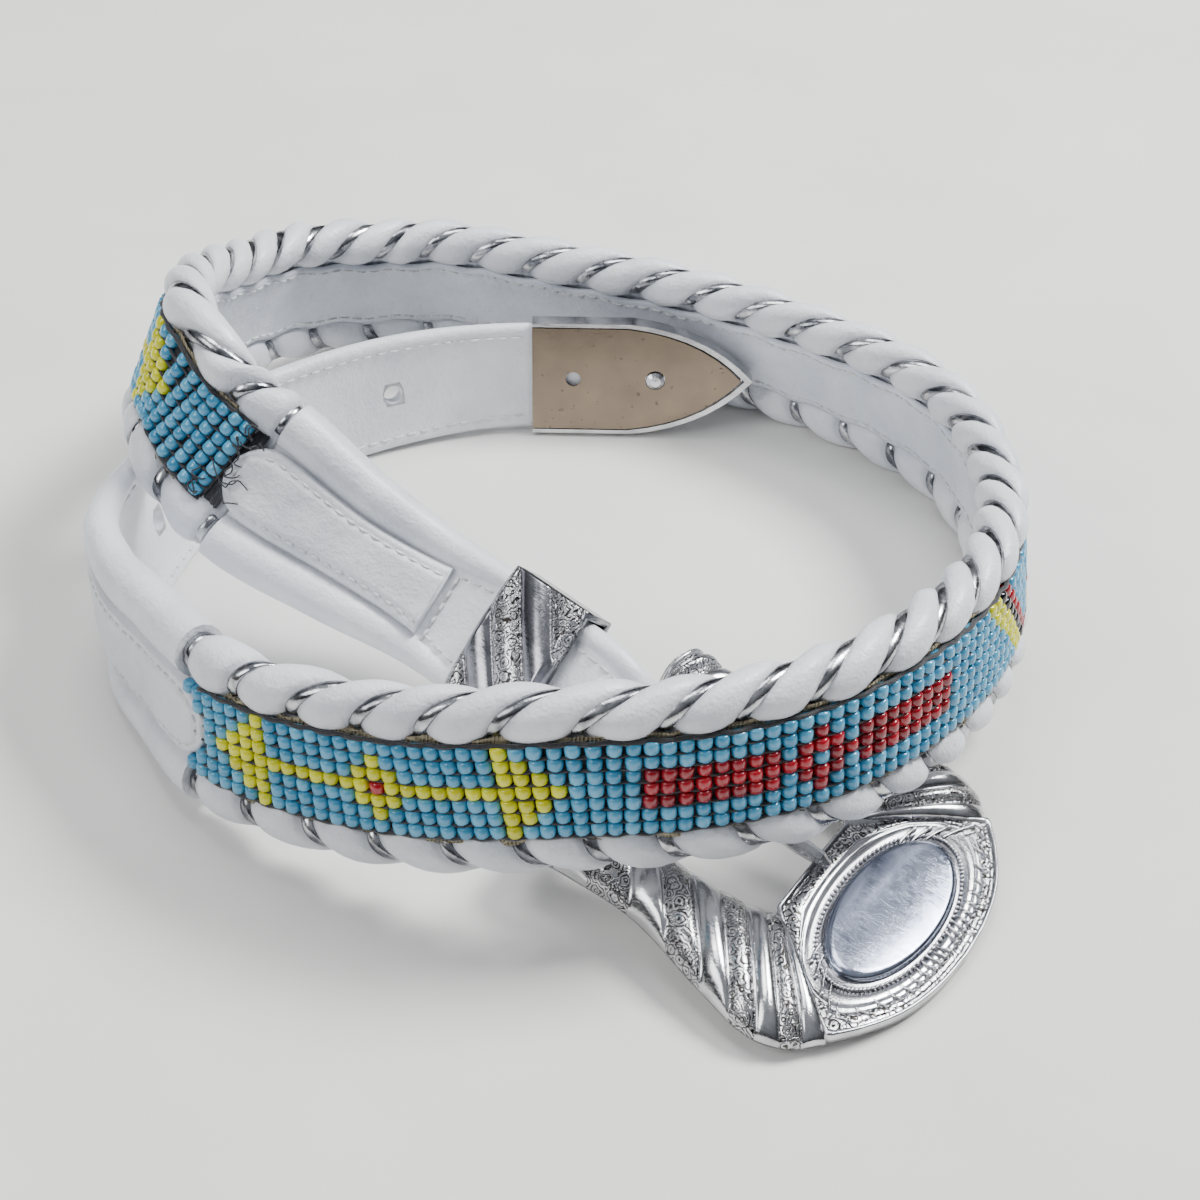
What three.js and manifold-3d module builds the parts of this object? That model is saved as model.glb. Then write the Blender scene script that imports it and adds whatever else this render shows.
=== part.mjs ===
// A beaded western belt with a laced, padded edge, lying loosely coiled on a flat surface.
// Millimetres, +Z up. The origin is under the middle of the coil, on the surface.
import * as THREE from "three";
import { mergeVertices } from "three/addons/utils/BufferGeometryUtils.js";
import Module from "manifold-3d";

const wasm = await Module();
wasm.setup();

// Clearance between touching pieces
const gap = 0.3;

// The coil seen from above, and the flat leather band that makes it
const coilWidth = 190;
const coilDepth = 186;
const bandWidth = 38;
const rollRadius = 5.25;
const leather = 3;

// The silver lace that pulls the rolls into scallops
const lacePitch = 13.4;
const laceBite = 1.4;
const laceSlant = 1.3;

// Bead strip, lining and overlay tabs
const beadStripWidth = 20.8;
const beadStripHeight = 3.1;
const liningWidth = 18.6;
const liningThickness = 1.6;
const tabThickness = 1.6;
const tabWidth = 16.8;
const tabShoulder = 0.7;
const tabFlat = 0.85;
const tabNose = 0.35;
const billetTabLength = 58;
const buckleTabLength = 50;
const tabOverBand = 5;

// Billet holes
const holeDiameter = 4.4;
const holeSpacing = 24;
const firstHole = 33.5;
const holeCount = 4;

// Billet tip
const tipLength = 51;
const tipWidth = 27.6;
const tipThickness = 5.2;
const tipWall = 0.9;
const tipShoulder = 0.45;
const tipBow = { along: 0.8, half: 0.86 };
const tipCrownInset = 1.5;
const tipCrown = 1.4;
const tipCrownSunk = 0.8;
const tipPocket = 13;
const tipPlateThickness = 1;
const tipHoleDiameter = 3.6;
const tipHoleFromBase = 9.5;
const rivetDiameter = 4.2;
const rivetFromBase = 28.5;
const rivetHeight = 1.8;

// Keeper, as wide as the narrow end of the strap with some room on each side
const narrowStrap = 0.74;
const keeperRoom = 0.64;
const keeperLength = 20;
const keeperDepth = 11;
const keeperWall = 1.3;
const keeperWidth = narrowStrap * bandWidth + 2 * (keeperRoom + keeperWall);
const keeperCrown = 1.4;
const keeperRopes = 5;
const keeperRopeRadius = 3;
const keeperRopeAngle = -50;
const keeperRopeSunk = 0.64;
const keeperRopePitch = 10.3;

// Buckle: reach is from the bar to the front edge
const buckleReach = 75;
const buckleWidth = 78;
const openingLength = 42;
const openingWidth = 31;
const plateInnerHalf = 13.5;
const plateThickness = 2.2;
const rimHeight = 0.8;
const rimWidth = 1.6;
const ovalLength = 38;
const ovalWidth = 18.6;
const ovalRise = 1.7;
const ovalFromBar = 59;
const barRadius = 2.2;
const armCrest = 4.2;
const gadroonCount = 12;
const gadroonDepth = 0.3;
const buckleYaw = -33;
const bucklePitch = 8.5;

// Prong
const prongRadius = 1.8;
const prongEyeWidth = 5.4;
const prongEyeWall = 1.6;
const prongOverPlate = 3.5;

// Heights that the coil passes over, worked out from what lies under it
const radians = THREE.MathUtils.degToRad;
const barAbovePlate = 0.8;
const barHeight = buckleReach * Math.sin(radians(bucklePitch))
  + (plateThickness + barAbovePlate) * Math.cos(radians(bucklePitch));
const armCrossing = 9;
const swivelRoom = 1.2;
const liftOverBuckle = barHeight - armCrossing * Math.sin(radians(bucklePitch))
  + (armCrest - barAbovePlate) * Math.cos(radians(bucklePitch)) + swivelRoom;
const billetUnderBand = 0.83 * bandWidth;
const liftOverBillet = billetUnderBand + gap;
const foldRadius = barRadius + gap + leather;

// The middle of the leather, from the billet's point round the coil to the buckle's bar.
// x and y are shares of half the coil's width and depth. The next three are shares of the lifts
// over the buckle, over the billet and up to the bar, none where left out. Lean is in degrees,
// the top edge inwards.
// Width is a share of the band's width, and roll of the padded roll's radius.
const coilRows = [
  { at: "tip point", x: 0.368, y: 0.688, billet: 0.06, lean: -10, width: 0.665, roll: 0.32 },
  { at: "in the tip", x: -0.047, y: 0.694, billet: 0.05, lean: -10, width: 0.665, roll: 0.3 },
  { at: "tip base", x: -0.174, y: 0.695, billet: 0.045, lean: -10, width: 0.672, roll: 0.3 },
  { at: "first hole", x: -0.505, y: 0.61, billet: 0.015, lean: -10, width: 0.724, roll: 0.38 },
  { at: "second hole", x: -0.73, y: 0.475, lean: -10, width: 0.745, roll: 0.38 },
  { at: "third hole", x: -0.955, y: 0.199, lean: -10, width: 0.79, roll: 0.4 },
  { at: "last hole", x: -1.002, y: 0.054, lean: -9, width: 0.86, roll: 0.44 },
  { at: "curl", x: -1.045, y: -0.183, lean: -4, width: 0.93, roll: 0.66 },
  { at: "curl end", x: -1.006, y: -0.323, lean: 1, width: 0.97, roll: 0.82 },
  { at: "front corner", x: -0.888, y: -0.505, buckle: 0.05, lean: 6, width: 1, roll: 0.96 },
  { at: "band start", x: -0.786, y: -0.649, buckle: 0.15, lean: 9, width: 1, roll: 1 },
  { at: "front left", x: -0.4, y: -0.892, buckle: 0.55, lean: 9, width: 1, roll: 1 },
  { at: "over the near arm", x: 0.039, y: -0.971, buckle: 1, lean: 9, width: 1, roll: 1 },
  { at: "over the far arm", x: 0.452, y: -0.843, buckle: 0.97, lean: 10, width: 1, roll: 1 },
  { at: "front right", x: 0.759, y: -0.475, buckle: 0.6, lean: 8, width: 1, roll: 1 },
  { at: "right", x: 0.873, y: -0.022, buckle: 0.12, lean: 7, width: 1, roll: 1 },
  { at: "back right", x: 0.806, y: 0.357, lean: 10, width: 1, roll: 1 },
  { at: "back", x: 0.426, y: 0.714, lean: 13, width: 1, roll: 1 },
  { at: "back middle", x: -0.089, y: 0.926, lean: 10, width: 1, roll: 1 },
  { at: "back left", x: -0.492, y: 1.022, lean: 10, width: 1, roll: 1 },
  { at: "turning", x: -0.761, y: 0.911, billet: 0.13, lean: 11, width: 1, roll: 1 },
  { at: "climbing", x: -0.905, y: 0.657, billet: 0.4, lean: 15, width: 1, roll: 1 },
  { at: "left", x: -0.968, y: 0.39, billet: 0.76, lean: 21, width: 1, roll: 1 },
  { at: "over the billet", x: -0.923, y: 0.108, billet: 1, lean: 27, width: 1, roll: 1 },
  { at: "past the billet", x: -0.853, y: 0.005, billet: 0.84, lean: 32, width: 1, roll: 1 },
  { at: "band end", x: -0.741, y: -0.077, billet: 0.65, lean: 38, width: 1, roll: 1 },
  { at: "buckle tab", x: -0.537, y: -0.172, billet: 0.41, lean: 41, width: 0.86, roll: 0.9 },
  { at: "cross seam", x: -0.345, y: -0.252, billet: 0.23, lean: 44, width: 0.75, roll: 0.64 },
  { at: "keeper back", x: -0.24, y: -0.333, bar: 0.5, lean: 45, width: narrowStrap, roll: 0.46 },
  { at: "keeper", x: -0.16, y: -0.414, bar: 0.46, lean: 45.5, width: narrowStrap, roll: 0.45 },
  { at: "keeper front", x: -0.082, y: -0.493, bar: 0.5, lean: 46.5, width: narrowStrap, roll: 0.45 },
  { at: "bar", x: 0.054, y: -0.652, bar: 1, lean: 90, width: narrowStrap, roll: 0.45 },
];

const share = (row, name) => row[name] ?? 0;

// A belt's path: rows joined smoothly along their distance in plan
function coilPath(rows, endYaw) {
  const plan = rows.map((row) => new THREE.Vector2(row.x * coilWidth / 2, row.y * coilDepth / 2));
  const liftToBar = barHeight - rows[rows.length - 1].roll * rollRadius;
  const knots = [0];
  for (let i = 1; i < rows.length; i += 1) knots.push(knots[i - 1] + plan[i].distanceTo(plan[i - 1]));
  const columns = {
    x: plan.map((point) => point.x),
    y: plan.map((point) => point.y),
    lift: rows.map((row) => share(row, "buckle") * liftOverBuckle
      + share(row, "billet") * liftOverBillet + share(row, "bar") * liftToBar),
    lean: rows.map((row) => row.lean),
    width: rows.map((row) => row.width * bandWidth),
    roll: rows.map((row) => row.roll * rollRadius),
  };
  const slopes = {};
  for (const [name, values] of Object.entries(columns)) {
    slopes[name] = rowSlopes(knots, values, name === "x" || name === "y");
  }
  slopes.x[rows.length - 1] = Math.cos(radians(endYaw));
  slopes.y[rows.length - 1] = Math.sin(radians(endYaw));

  const value = (name, knot) => {
    let i = 0;
    while (i < knots.length - 2 && knots[i + 1] < knot) i += 1;
    const span = knots[i + 1] - knots[i];
    const u = (knot - knots[i]) / span;
    const a = columns[name][i];
    const b = columns[name][i + 1];
    return a * (1 + 2 * u) * (1 - u) ** 2 + b * u * u * (3 - 2 * u)
      + span * (slopes[name][i] * u * (1 - u) ** 2 - slopes[name][i + 1] * u * u * (1 - u));
  };

  // Evenly spread samples, with the length along the leather at each
  const sampleCount = 1500;
  const samples = [];
  for (let i = 0; i <= sampleCount; i += 1) {
    const knot = knots[knots.length - 1] * i / sampleCount;
    const sample = { lean: value("lean", knot), width: value("width", knot), roll: value("roll", knot) };
    const half = sample.width / 2 - sample.roll;
    const height = value("lift", knot) + half * Math.cos(radians(sample.lean)) + sample.roll;
    sample.point = new THREE.Vector3(value("x", knot), value("y", knot), height);
    sample.length = i === 0 ? 0 : samples[i - 1].length + sample.point.distanceTo(samples[i - 1].point);
    samples.push(sample);
  }
  const lastKnot = knots[knots.length - 1];
  const lengthOf = (knot) => samples[Math.round(knot / lastKnot * sampleCount)].length;
  const stations = Object.fromEntries(rows.map((row, i) => [row.at, lengthOf(knots[i])]));

  const at = (length) => {
    let i = 0;
    while (i < sampleCount - 1 && samples[i + 1].length <= length) i += 1;
    const a = samples[i];
    const b = samples[i + 1];
    const u = (length - a.length) / (b.length - a.length);
    const lean = radians(a.lean + (b.lean - a.lean) * u);
    const tangent = tangentAt(samples, i).lerp(tangentAt(samples, i + 1), u).normalize();
    const inward = new THREE.Vector3(-tangent.y, tangent.x, 0).normalize();
    const up = new THREE.Vector3().crossVectors(tangent, inward).normalize();
    const across = up.multiplyScalar(Math.cos(lean)).addScaledVector(inward, Math.sin(lean));
    return {
      origin: a.point.clone().lerp(b.point, u),
      tangent,
      across,
      outward: new THREE.Vector3().crossVectors(tangent, across),
      width: a.width + (b.width - a.width) * u,
      roll: a.roll + (b.roll - a.roll) * u,
    };
  };
  return { stations, at, length: samples[sampleCount].length };
}

function tangentAt(samples, i) {
  const before = samples[Math.max(0, i - 2)].point;
  const after = samples[Math.min(samples.length - 1, i + 2)].point;
  return new THREE.Vector3().subVectors(after, before).normalize();
}

// Slopes at the rows: free for the plan, and without overshoot for heights and widths
function rowSlopes(knots, values, free) {
  const last = values.length - 1;
  return values.map((_, i) => {
    const before = i > 0 ? (values[i] - values[i - 1]) / (knots[i] - knots[i - 1]) : null;
    const after = i < last ? (values[i + 1] - values[i]) / (knots[i + 1] - knots[i]) : null;
    if (before === null) return after;
    if (after === null) return before;
    const share = (knots[i] - knots[i - 1]) / (knots[i + 1] - knots[i - 1]);
    if (free) return before * (1 - share) + after * share;
    return before * after <= 0 ? 0 : (2 * before * after) / (before + after);
  });
}

const path = coilPath(coilRows, buckleYaw);
const bandStart = path.stations["band start"];
const bandEnd = path.stations["band end"];

// Closed bodies from vertices and triangles, with the faces pointing out
function closedBody(points, triangles) {
  let volume = 0;
  for (const [a, b, c] of triangles) {
    volume += points[a].dot(new THREE.Vector3().crossVectors(points[b], points[c]));
  }
  const geometry = new THREE.BufferGeometry();
  geometry.setAttribute("position", new THREE.Float32BufferAttribute(points.flatMap((p) => p.toArray()), 3));
  geometry.setIndex(triangles.flatMap(([a, b, c]) => (volume > 0 ? [a, b, c] : [a, c, b])));
  return geometry;
}

// A body through rings that all have as many points; outline is a ring's own flat shape, for the ends
function lofted(rings, startOutline, endOutline) {
  const count = rings[0].length;
  const points = rings.flat();
  const triangles = [];
  for (let ring = 0; ring < rings.length - 1; ring += 1) {
    for (let i = 0; i < count; i += 1) {
      const a = ring * count + i;
      const b = ring * count + (i + 1) % count;
      triangles.push([a, b, b + count], [a, b + count, a + count]);
    }
  }
  const top = (rings.length - 1) * count;
  for (const [a, b, c] of flatTriangles(startOutline)) triangles.push([a, c, b]);
  for (const [a, b, c] of flatTriangles(endOutline)) triangles.push([top + a, top + b, top + c]);
  return closedBody(points, triangles);
}

// Triangles of a flat outline, turned the way its points run
function flatTriangles(outline) {
  const contour = outline.map((p) => new THREE.Vector2(p.s, p.t));
  const clockwise = THREE.ShapeUtils.isClockWise(contour);
  const order = contour.map((_, i) => i);
  if (clockwise) order.reverse();
  const faces = THREE.ShapeUtils.triangulateShape(order.map((i) => contour[i]), []);
  return faces.map((face) => {
    const [a, b, c] = face.map((i) => order[i]);
    return clockwise ? [a, c, b] : [a, b, c];
  });
}

// A body swept along the belt: section(frame, station) gives points { s: across, t: outward, turn }
function sweptAlong(stations, section, shift = () => 0) {
  const rings = stations.map((station) => section(path.at(station), station).map((p) => {
    const frame = path.at(station + shift(station) * (p.turn ?? 0));
    return frame.origin.clone().addScaledVector(frame.across, p.s).addScaledVector(frame.outward, p.t);
  }));
  const first = section(path.at(stations[0]), stations[0]);
  const last = section(path.at(stations[stations.length - 1]), stations[stations.length - 1]);
  return lofted(rings, first, last);
}

function spread(from, to, count) {
  return Array.from({ length: count + 1 }, (_, i) => from + (to - from) * i / count);
}

// Manifold solids for joins and cuts
function solid(geometry) {
  const bare = geometry.clone();
  bare.deleteAttribute("normal");
  bare.deleteAttribute("uv");
  const merged = mergeVertices(bare, 1e-4);
  return new wasm.Manifold(new wasm.Mesh({
    numProp: 3,
    vertProperties: new Float32Array(merged.attributes.position.array),
    triVerts: new Uint32Array(merged.index.array),
  }));
}

function geometryOf(manifold) {
  const mesh = manifold.getMesh();
  const geometry = new THREE.BufferGeometry();
  geometry.setAttribute("position", new THREE.BufferAttribute(new Float32Array(mesh.vertProperties), 3));
  geometry.setIndex(new THREE.BufferAttribute(new Uint32Array(mesh.triVerts), 1));
  return geometry;
}

// Materials
function material(color, roughness, metalness = 0) {
  return new THREE.MeshStandardMaterial({ color, roughness, metalness });
}

const whiteLeather = material("#e4e6ea", 0.5);
const liningLeather = material("#dfe2e8", 0.6);
const turquoiseBeads = material("#66aecb", 0.25);
const brightSilver = material("#cfd0d2", 0.22, 1);
const tipBack = material("#8a7361", 0.4, 1);

const belt = new THREE.Group();

function addPiece(parent, name, geometry, finish) {
  const mesh = new THREE.Mesh(geometry, finish);
  mesh.name = name;
  parent.add(mesh);
  return mesh;
}

// Two padded rolls and the web between them; turn runs from 0 outside to 1 inside round each roll
const rollSteps = 6;
const thinnestWeb = 0.9;
function rolledSection(frame, pinch = 0) {
  const radius = frame.roll - pinch;
  const half = frame.width / 2 - frame.roll;
  const webHalf = Math.min(leather / 2, frame.roll * thinnestWeb);
  const start = Math.PI - Math.asin(webHalf / radius);
  const upper = spread(0, 1, rollSteps).map((turn) => {
    const angle = start * (1 - 2 * turn);
    return { s: half + radius * Math.cos(angle), t: radius * Math.sin(angle), turn };
  });
  const lower = upper.map((p) => ({ ...p, s: -p.s })).reverse();
  return [...upper, ...lower];
}

// Laced band: four rings to each scallop, slanted as the lace winds round the roll
function lacedBand() {
  const scallops = Math.round((bandEnd - bandStart) / lacePitch);
  const pitch = (bandEnd - bandStart) / scallops;
  const depths = [1, 0.3, 0, 0.3];
  const stations = spread(bandStart + gap, bandEnd - gap, scallops * depths.length);
  const index = (station) => Math.round((station - bandStart) / pitch * depths.length) % depths.length;
  const section = (frame, station) => rolledSection(frame, laceBite * depths[index(station)]);
  const shift = (station) => {
    const fromEnd = Math.min(station - bandStart, bandEnd - station) - gap;
    return laceSlant * pitch * Math.min(1, Math.max(0, fromEnd) / (2 * pitch));
  };
  return sweptAlong(stations, section, shift);
}

// Flat strip on one side of the web: side is 1 for the outer face and -1 for the inner
function webStrip(from, to, steps, side, clear, foot, top, height) {
  const low = side * (leather / 2 + clear);
  const high = low + side * height;
  return sweptAlong(spread(from, to, steps), () => [
    { s: foot / 2, t: low },
    { s: top / 2, t: high },
    { s: -top / 2, t: high },
    { s: -foot / 2, t: low },
  ]);
}

// The strip's foot is as wide as the clear web between the rolls, and sits off it where it twists
const rollReach = Math.sqrt(rollRadius ** 2 - (leather / 2) ** 2);
const clearWeb = bandWidth - 2 * rollRadius - 2 * rollReach - 4 * gap;
const stripClear = 1.5 * gap;

function beadStrip() {
  const from = bandStart + tabOverBand + gap;
  const to = bandEnd - tabOverBand - gap;
  return webStrip(from, to, 150, 1, stripClear, clearWeb, beadStripWidth, beadStripHeight);
}

function liningPanel() {
  const from = bandStart + 2 * gap;
  const to = bandEnd - 2 * gap;
  return webStrip(from, to, 100, -1, gap, clearWeb, liningWidth, liningThickness);
}

// Overlay tab, with one rounded end on the band and a plain end on the strap
function overlayTab(roundEnd, plainEnd) {
  const direction = Math.sign(plainEnd - roundEnd);
  const low = leather / 2 + gap;
  const reach = Math.abs(plainEnd - roundEnd);
  const shares = [0, 0.02, 0.06, ...spread(0.14, 1, 13)];
  const halfAt = (distance, frame) => {
    const radius = tabWidth / 2;
    const rollSide = Math.sqrt(Math.max(0, frame.roll ** 2 - low ** 2));
    const free = frame.width / 2 - frame.roll - rollSide - gap;
    const fromMiddle = Math.max(0, radius - distance);
    const round = Math.sqrt(radius ** 2 - fromMiddle ** 2);
    return Math.min(Math.max(round, radius * tabNose), free);
  };
  const stations = shares.map((share) => roundEnd + direction * share * reach);
  return sweptAlong(stations, (frame, station) => {
    const half = halfAt(Math.abs(station - roundEnd), frame);
    return [
      { s: half, t: low },
      { s: half, t: low + tabThickness * tabShoulder },
      { s: half * tabFlat, t: low + tabThickness },
      { s: -half * tabFlat, t: low + tabThickness },
      { s: -half, t: low + tabThickness * tabShoulder },
      { s: -half, t: low },
    ];
  });
}

// Billet strap, from inside the tip round the curl to the band, with its holes
const tipBase = path.stations["tip base"];
const holeStations = Array.from({ length: holeCount }, (_, i) => tipBase + firstHole + i * holeSpacing);

function boreAt(station, radius, sides) {
  const frame = path.at(station);
  const bore = new THREE.CylinderGeometry(radius, radius, 4 * leather, sides);
  const toFrame = new THREE.Matrix4().makeBasis(frame.across, frame.outward, frame.tangent);
  return solid(bore.applyMatrix4(toFrame).translate(...frame.origin.toArray()));
}

function billetStrap() {
  const stations = spread(tipBase - tipPocket + gap, bandStart - gap, 42);
  let body = solid(sweptAlong(stations, (frame) => rolledSection(frame)));
  for (const station of holeStations) body = body.subtract(boreAt(station, holeDiameter / 2, 12));
  return geometryOf(body);
}

// The buckle's own frame: x from the bar to the front edge, y along the bar, z up through the plate
const barPoint = path.at(path.length).origin;
barPoint.z = barHeight;
const buckleFrame = new THREE.Matrix4()
  .makeTranslation(barPoint.x, barPoint.y, barPoint.z)
  .multiply(new THREE.Matrix4().makeRotationZ(radians(buckleYaw)))
  .multiply(new THREE.Matrix4().makeRotationY(radians(bucklePitch)))
  .multiply(new THREE.Matrix4().makeTranslation(0, 0, -barAbovePlate));
const barAxisFrame = buckleFrame.clone().multiply(new THREE.Matrix4().makeTranslation(0, 0, barAbovePlate));

// Buckle strap: padded to the cross seam, then a flat fold round the bar with a slot for the prong
function buckleStrap() {
  const stations = spread(bandEnd + gap, path.length, 30);
  const strap = solid(sweptAlong(stations, (frame) => rolledSection(frame)));
  const foldWidth = path.at(path.length).width;
  const fold = alongBar(foldRadius, foldWidth, 16);
  const bore = alongBar(barRadius + gap, 2 * foldWidth, 12);
  const slot = new THREE.BoxGeometry(4 * foldRadius, prongEyeWidth + 2 * gap, 4 * foldRadius);
  slot.translate(foldRadius, 0, 0);
  return geometryOf(strap.add(fold).subtract(bore).subtract(solid(slot.applyMatrix4(barAxisFrame))));
}

function alongBar(radius, length, sides) {
  return solid(new THREE.CylinderGeometry(radius, radius, length, sides).applyMatrix4(barAxisFrame));
}

// Frame of a straight metal piece that holds the leather at one station
function stationFrame(station) {
  const frame = path.at(station);
  return new THREE.Matrix4().makeBasis(frame.tangent, frame.across, frame.outward).setPosition(frame.origin);
}

// Keeper: a domed loop with slanted ropes across its face. Length along x, width along y, depth along z
function keeper() {
  const halfWidth = keeperWidth / 2;
  const halfDepth = keeperDepth / 2;
  const face = new THREE.Shape();
  face.moveTo(-halfWidth, -halfDepth);
  face.lineTo(halfWidth, -halfDepth);
  face.lineTo(halfWidth, halfDepth - keeperCrown);
  face.quadraticCurveTo(0, halfDepth + keeperCrown, -halfWidth, halfDepth - keeperCrown);
  const inside = new THREE.Path();
  inside.moveTo(-halfWidth + keeperWall, -halfDepth + keeperWall);
  inside.lineTo(-halfWidth + keeperWall, halfDepth - keeperCrown - keeperWall);
  inside.lineTo(halfWidth - keeperWall, halfDepth - keeperCrown - keeperWall);
  inside.lineTo(halfWidth - keeperWall, -halfDepth + keeperWall);
  face.holes.push(inside);
  const loop = extrudedAcross(face, keeperLength);
  const limit = solid(new THREE.BoxGeometry(keeperLength, keeperWidth, keeperDepth)
    .translate(0, 0, halfDepth - keeperCrown + keeperDepth / 2));
  let ropes = null;
  for (let i = 0; i < keeperRopes; i += 1) {
    const rope = new THREE.CylinderGeometry(keeperRopeRadius, keeperRopeRadius, 2 * keeperWidth, 10);
    rope.rotateZ(radians(90 + keeperRopeAngle));
    const place = (i - (keeperRopes - 1) / 2) * keeperRopePitch;
    rope.translate(0, place, halfDepth - keeperRopeRadius * keeperRopeSunk);
    ropes = ropes ? ropes.add(solid(rope)) : solid(rope);
  }
  return geometryOf(loop.add(ropes.intersect(limit)));
}

// A flat shape drawn in y and z, extruded along x about the middle
function extrudedAcross(shape, length) {
  const body = new THREE.ExtrudeGeometry(shape, { depth: length, bevelEnabled: false, curveSegments: 8 });
  const turn = new THREE.Matrix4().makeBasis(
    new THREE.Vector3(0, 1, 0),
    new THREE.Vector3(0, 0, 1),
    new THREE.Vector3(1, 0, 0),
  );
  return solid(body.applyMatrix4(turn).translate(-length / 2, 0, 0));
}

// Tip: a pointed cap on the billet's end, with x from its base to its point
function tipOutline(width, length, from) {
  const half = width / 2;
  const outline = new THREE.Shape();
  outline.moveTo(from, -half);
  outline.lineTo(length * tipShoulder, -half);
  outline.quadraticCurveTo(length * tipBow.along, -half * tipBow.half, length, 0);
  outline.quadraticCurveTo(length * tipBow.along, half * tipBow.half, length * tipShoulder, half);
  outline.lineTo(from, half);
  return outline;
}

function tipSlab(width, length, from, low, high) {
  const slab = new THREE.ExtrudeGeometry(tipOutline(width, length, from), {
    depth: high - low,
    bevelEnabled: false,
    curveSegments: 7,
  });
  return solid(slab.translate(0, 0, low));
}

function tipShell() {
  const half = tipThickness / 2;
  const inside = tipWidth - 2 * tipWall;
  const crownWidth = tipWidth - 2 * tipCrownInset;
  const crown = tipSlab(crownWidth, tipLength - 2 * tipCrownInset, 0, half - tipCrown, half);
  const body = tipSlab(tipWidth, tipLength, 0, -half, half - tipCrownSunk);
  const recess = tipSlab(inside, tipLength - 2 * tipWall, -1, -half - 1, -half + tipPlateThickness);
  const strap = path.at(tipBase);
  const pocketWidth = Math.min(strap.width + 2 * gap, inside);
  const pocketHalf = strap.roll + gap;
  const pocket = new THREE.BoxGeometry(2 * tipPocket, pocketWidth, 2 * pocketHalf);
  return geometryOf(crown.add(body).subtract(recess).subtract(solid(pocket)));
}

function tipPlate() {
  const half = tipThickness / 2;
  const inset = tipWall + gap;
  const top = -half + tipPlateThickness - gap;
  const plate = tipSlab(tipWidth - 2 * inset, tipLength - 2.2 * inset, 0, -half, top);
  const bore = (radius, along) => solid(new THREE.CylinderGeometry(radius, radius, 2 * tipThickness, 12)
    .rotateX(Math.PI / 2).translate(along, 0, 0));
  return geometryOf(plate
    .subtract(bore(tipHoleDiameter / 2, tipHoleFromBase))
    .subtract(bore(rivetDiameter / 2 + gap, rivetFromBase)));
}

function tipRivet() {
  const radius = rivetDiameter / 2;
  const profile = [[0, 0], [radius, 0], [radius, rivetHeight * 0.6], [radius * 0.6, rivetHeight * 0.94],
    [0, rivetHeight]];
  const rivet = new THREE.LatheGeometry(profile.map(([r, h]) => new THREE.Vector2(r, h)), 12);
  rivet.rotateX(-Math.PI / 2).translate(rivetFromBase, 0, -tipThickness / 2 + tipPlateThickness - gap);
  return geometryOf(solid(rivet));
}

// The buckle's plate, seen from above: half an outline from the inner edge to the front
const plateEdge = [
  { reach: 0.847, half: 0.82 },
  { reach: 0.905, half: 0.67 },
  { reach: 0.96, half: 0.47 },
  { reach: 0.99, half: 0.24 },
  { reach: 1, half: 0 },
];

function plateShape(inset) {
  const near = plateEdge.map((row) => [row.reach * buckleReach, -row.half * buckleWidth / 2]);
  const half = [[openingLength, -plateInnerHalf], ...near];
  const mirrored = half.slice(0, -1).map(([u, v]) => [u, -v]).reverse();
  const middle = new THREE.Vector2((openingLength + buckleReach) / 2, 0);
  const points = [...half, ...mirrored].map(([u, v]) => {
    const point = new THREE.Vector2(u, v);
    const inwards = new THREE.Vector2().subVectors(middle, point).setLength(inset);
    return point.add(inwards);
  });
  return new THREE.Shape(points);
}

function plate() {
  const slab = (shape, low, high) => solid(new THREE.ExtrudeGeometry(shape, {
    depth: high - low,
    bevelEnabled: false,
  }).translate(0, 0, low));
  const rimShape = plateShape(0);
  rimShape.holes.push(new THREE.Path(plateShape(rimWidth).getPoints()));
  const base = slab(plateShape(0), -plateThickness, 0);
  const rim = slab(rimShape, -plateThickness, rimHeight);
  const ovalProfile = [[0, -1], [1, -1], [1, ovalRise * 0.5], [0.93, ovalRise], [0, ovalRise + 0.3]];
  const oval = new THREE.LatheGeometry(ovalProfile.map(([r, h]) => new THREE.Vector2(r, h)), 28);
  oval.rotateX(Math.PI / 2).scale(ovalWidth / 2, ovalLength / 2, 1).translate(ovalFromBar, 0, 0);
  return base.add(rim).add(solid(oval));
}

// An arm: sections from its inner edge to its outer edge, from the back end to the plate.
// Inner and outer u are shares of the opening's length and the reach, v of the half widths,
// and crest is a share of the arm's height.
const armRows = [
  { innerU: -0.12, innerV: 1.3, outerU: -0.06, outerV: 0.7, crest: 0.85 },
  { innerU: -0.08, innerV: 1.12, outerU: -0.01, outerV: 0.79, crest: 1.4 },
  { innerU: 0.03, innerV: 1.03, outerU: 0.1, outerV: 0.78, crest: 1.3 },
  { innerU: 0.28, innerV: 1, outerU: 0.3, outerV: 0.79, crest: 1 },
  { innerU: 0.56, innerV: 1, outerU: 0.52, outerV: 0.92, crest: 1 },
  { innerU: 0.82, innerV: 1, outerU: 0.68, outerV: 1, crest: 1 },
  { innerU: 0.98, innerV: 0.9, outerU: 0.78, outerV: 0.95, crest: 0.9 },
  { innerU: 1.02, innerV: 0.86, outerU: 0.85, outerV: 0.81, crest: 0.72 },
];
const armFoot = -plateThickness;
const armProfile = [
  { across: 0, height: 0 },
  { across: 0.04, height: 0.45 },
  { across: 0.2, height: 0.85 },
  { across: 0.5, height: 1 },
  { across: 0.8, height: 0.85 },
  { across: 0.97, height: 0.4 },
  { across: 1, height: 0 },
];

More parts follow.
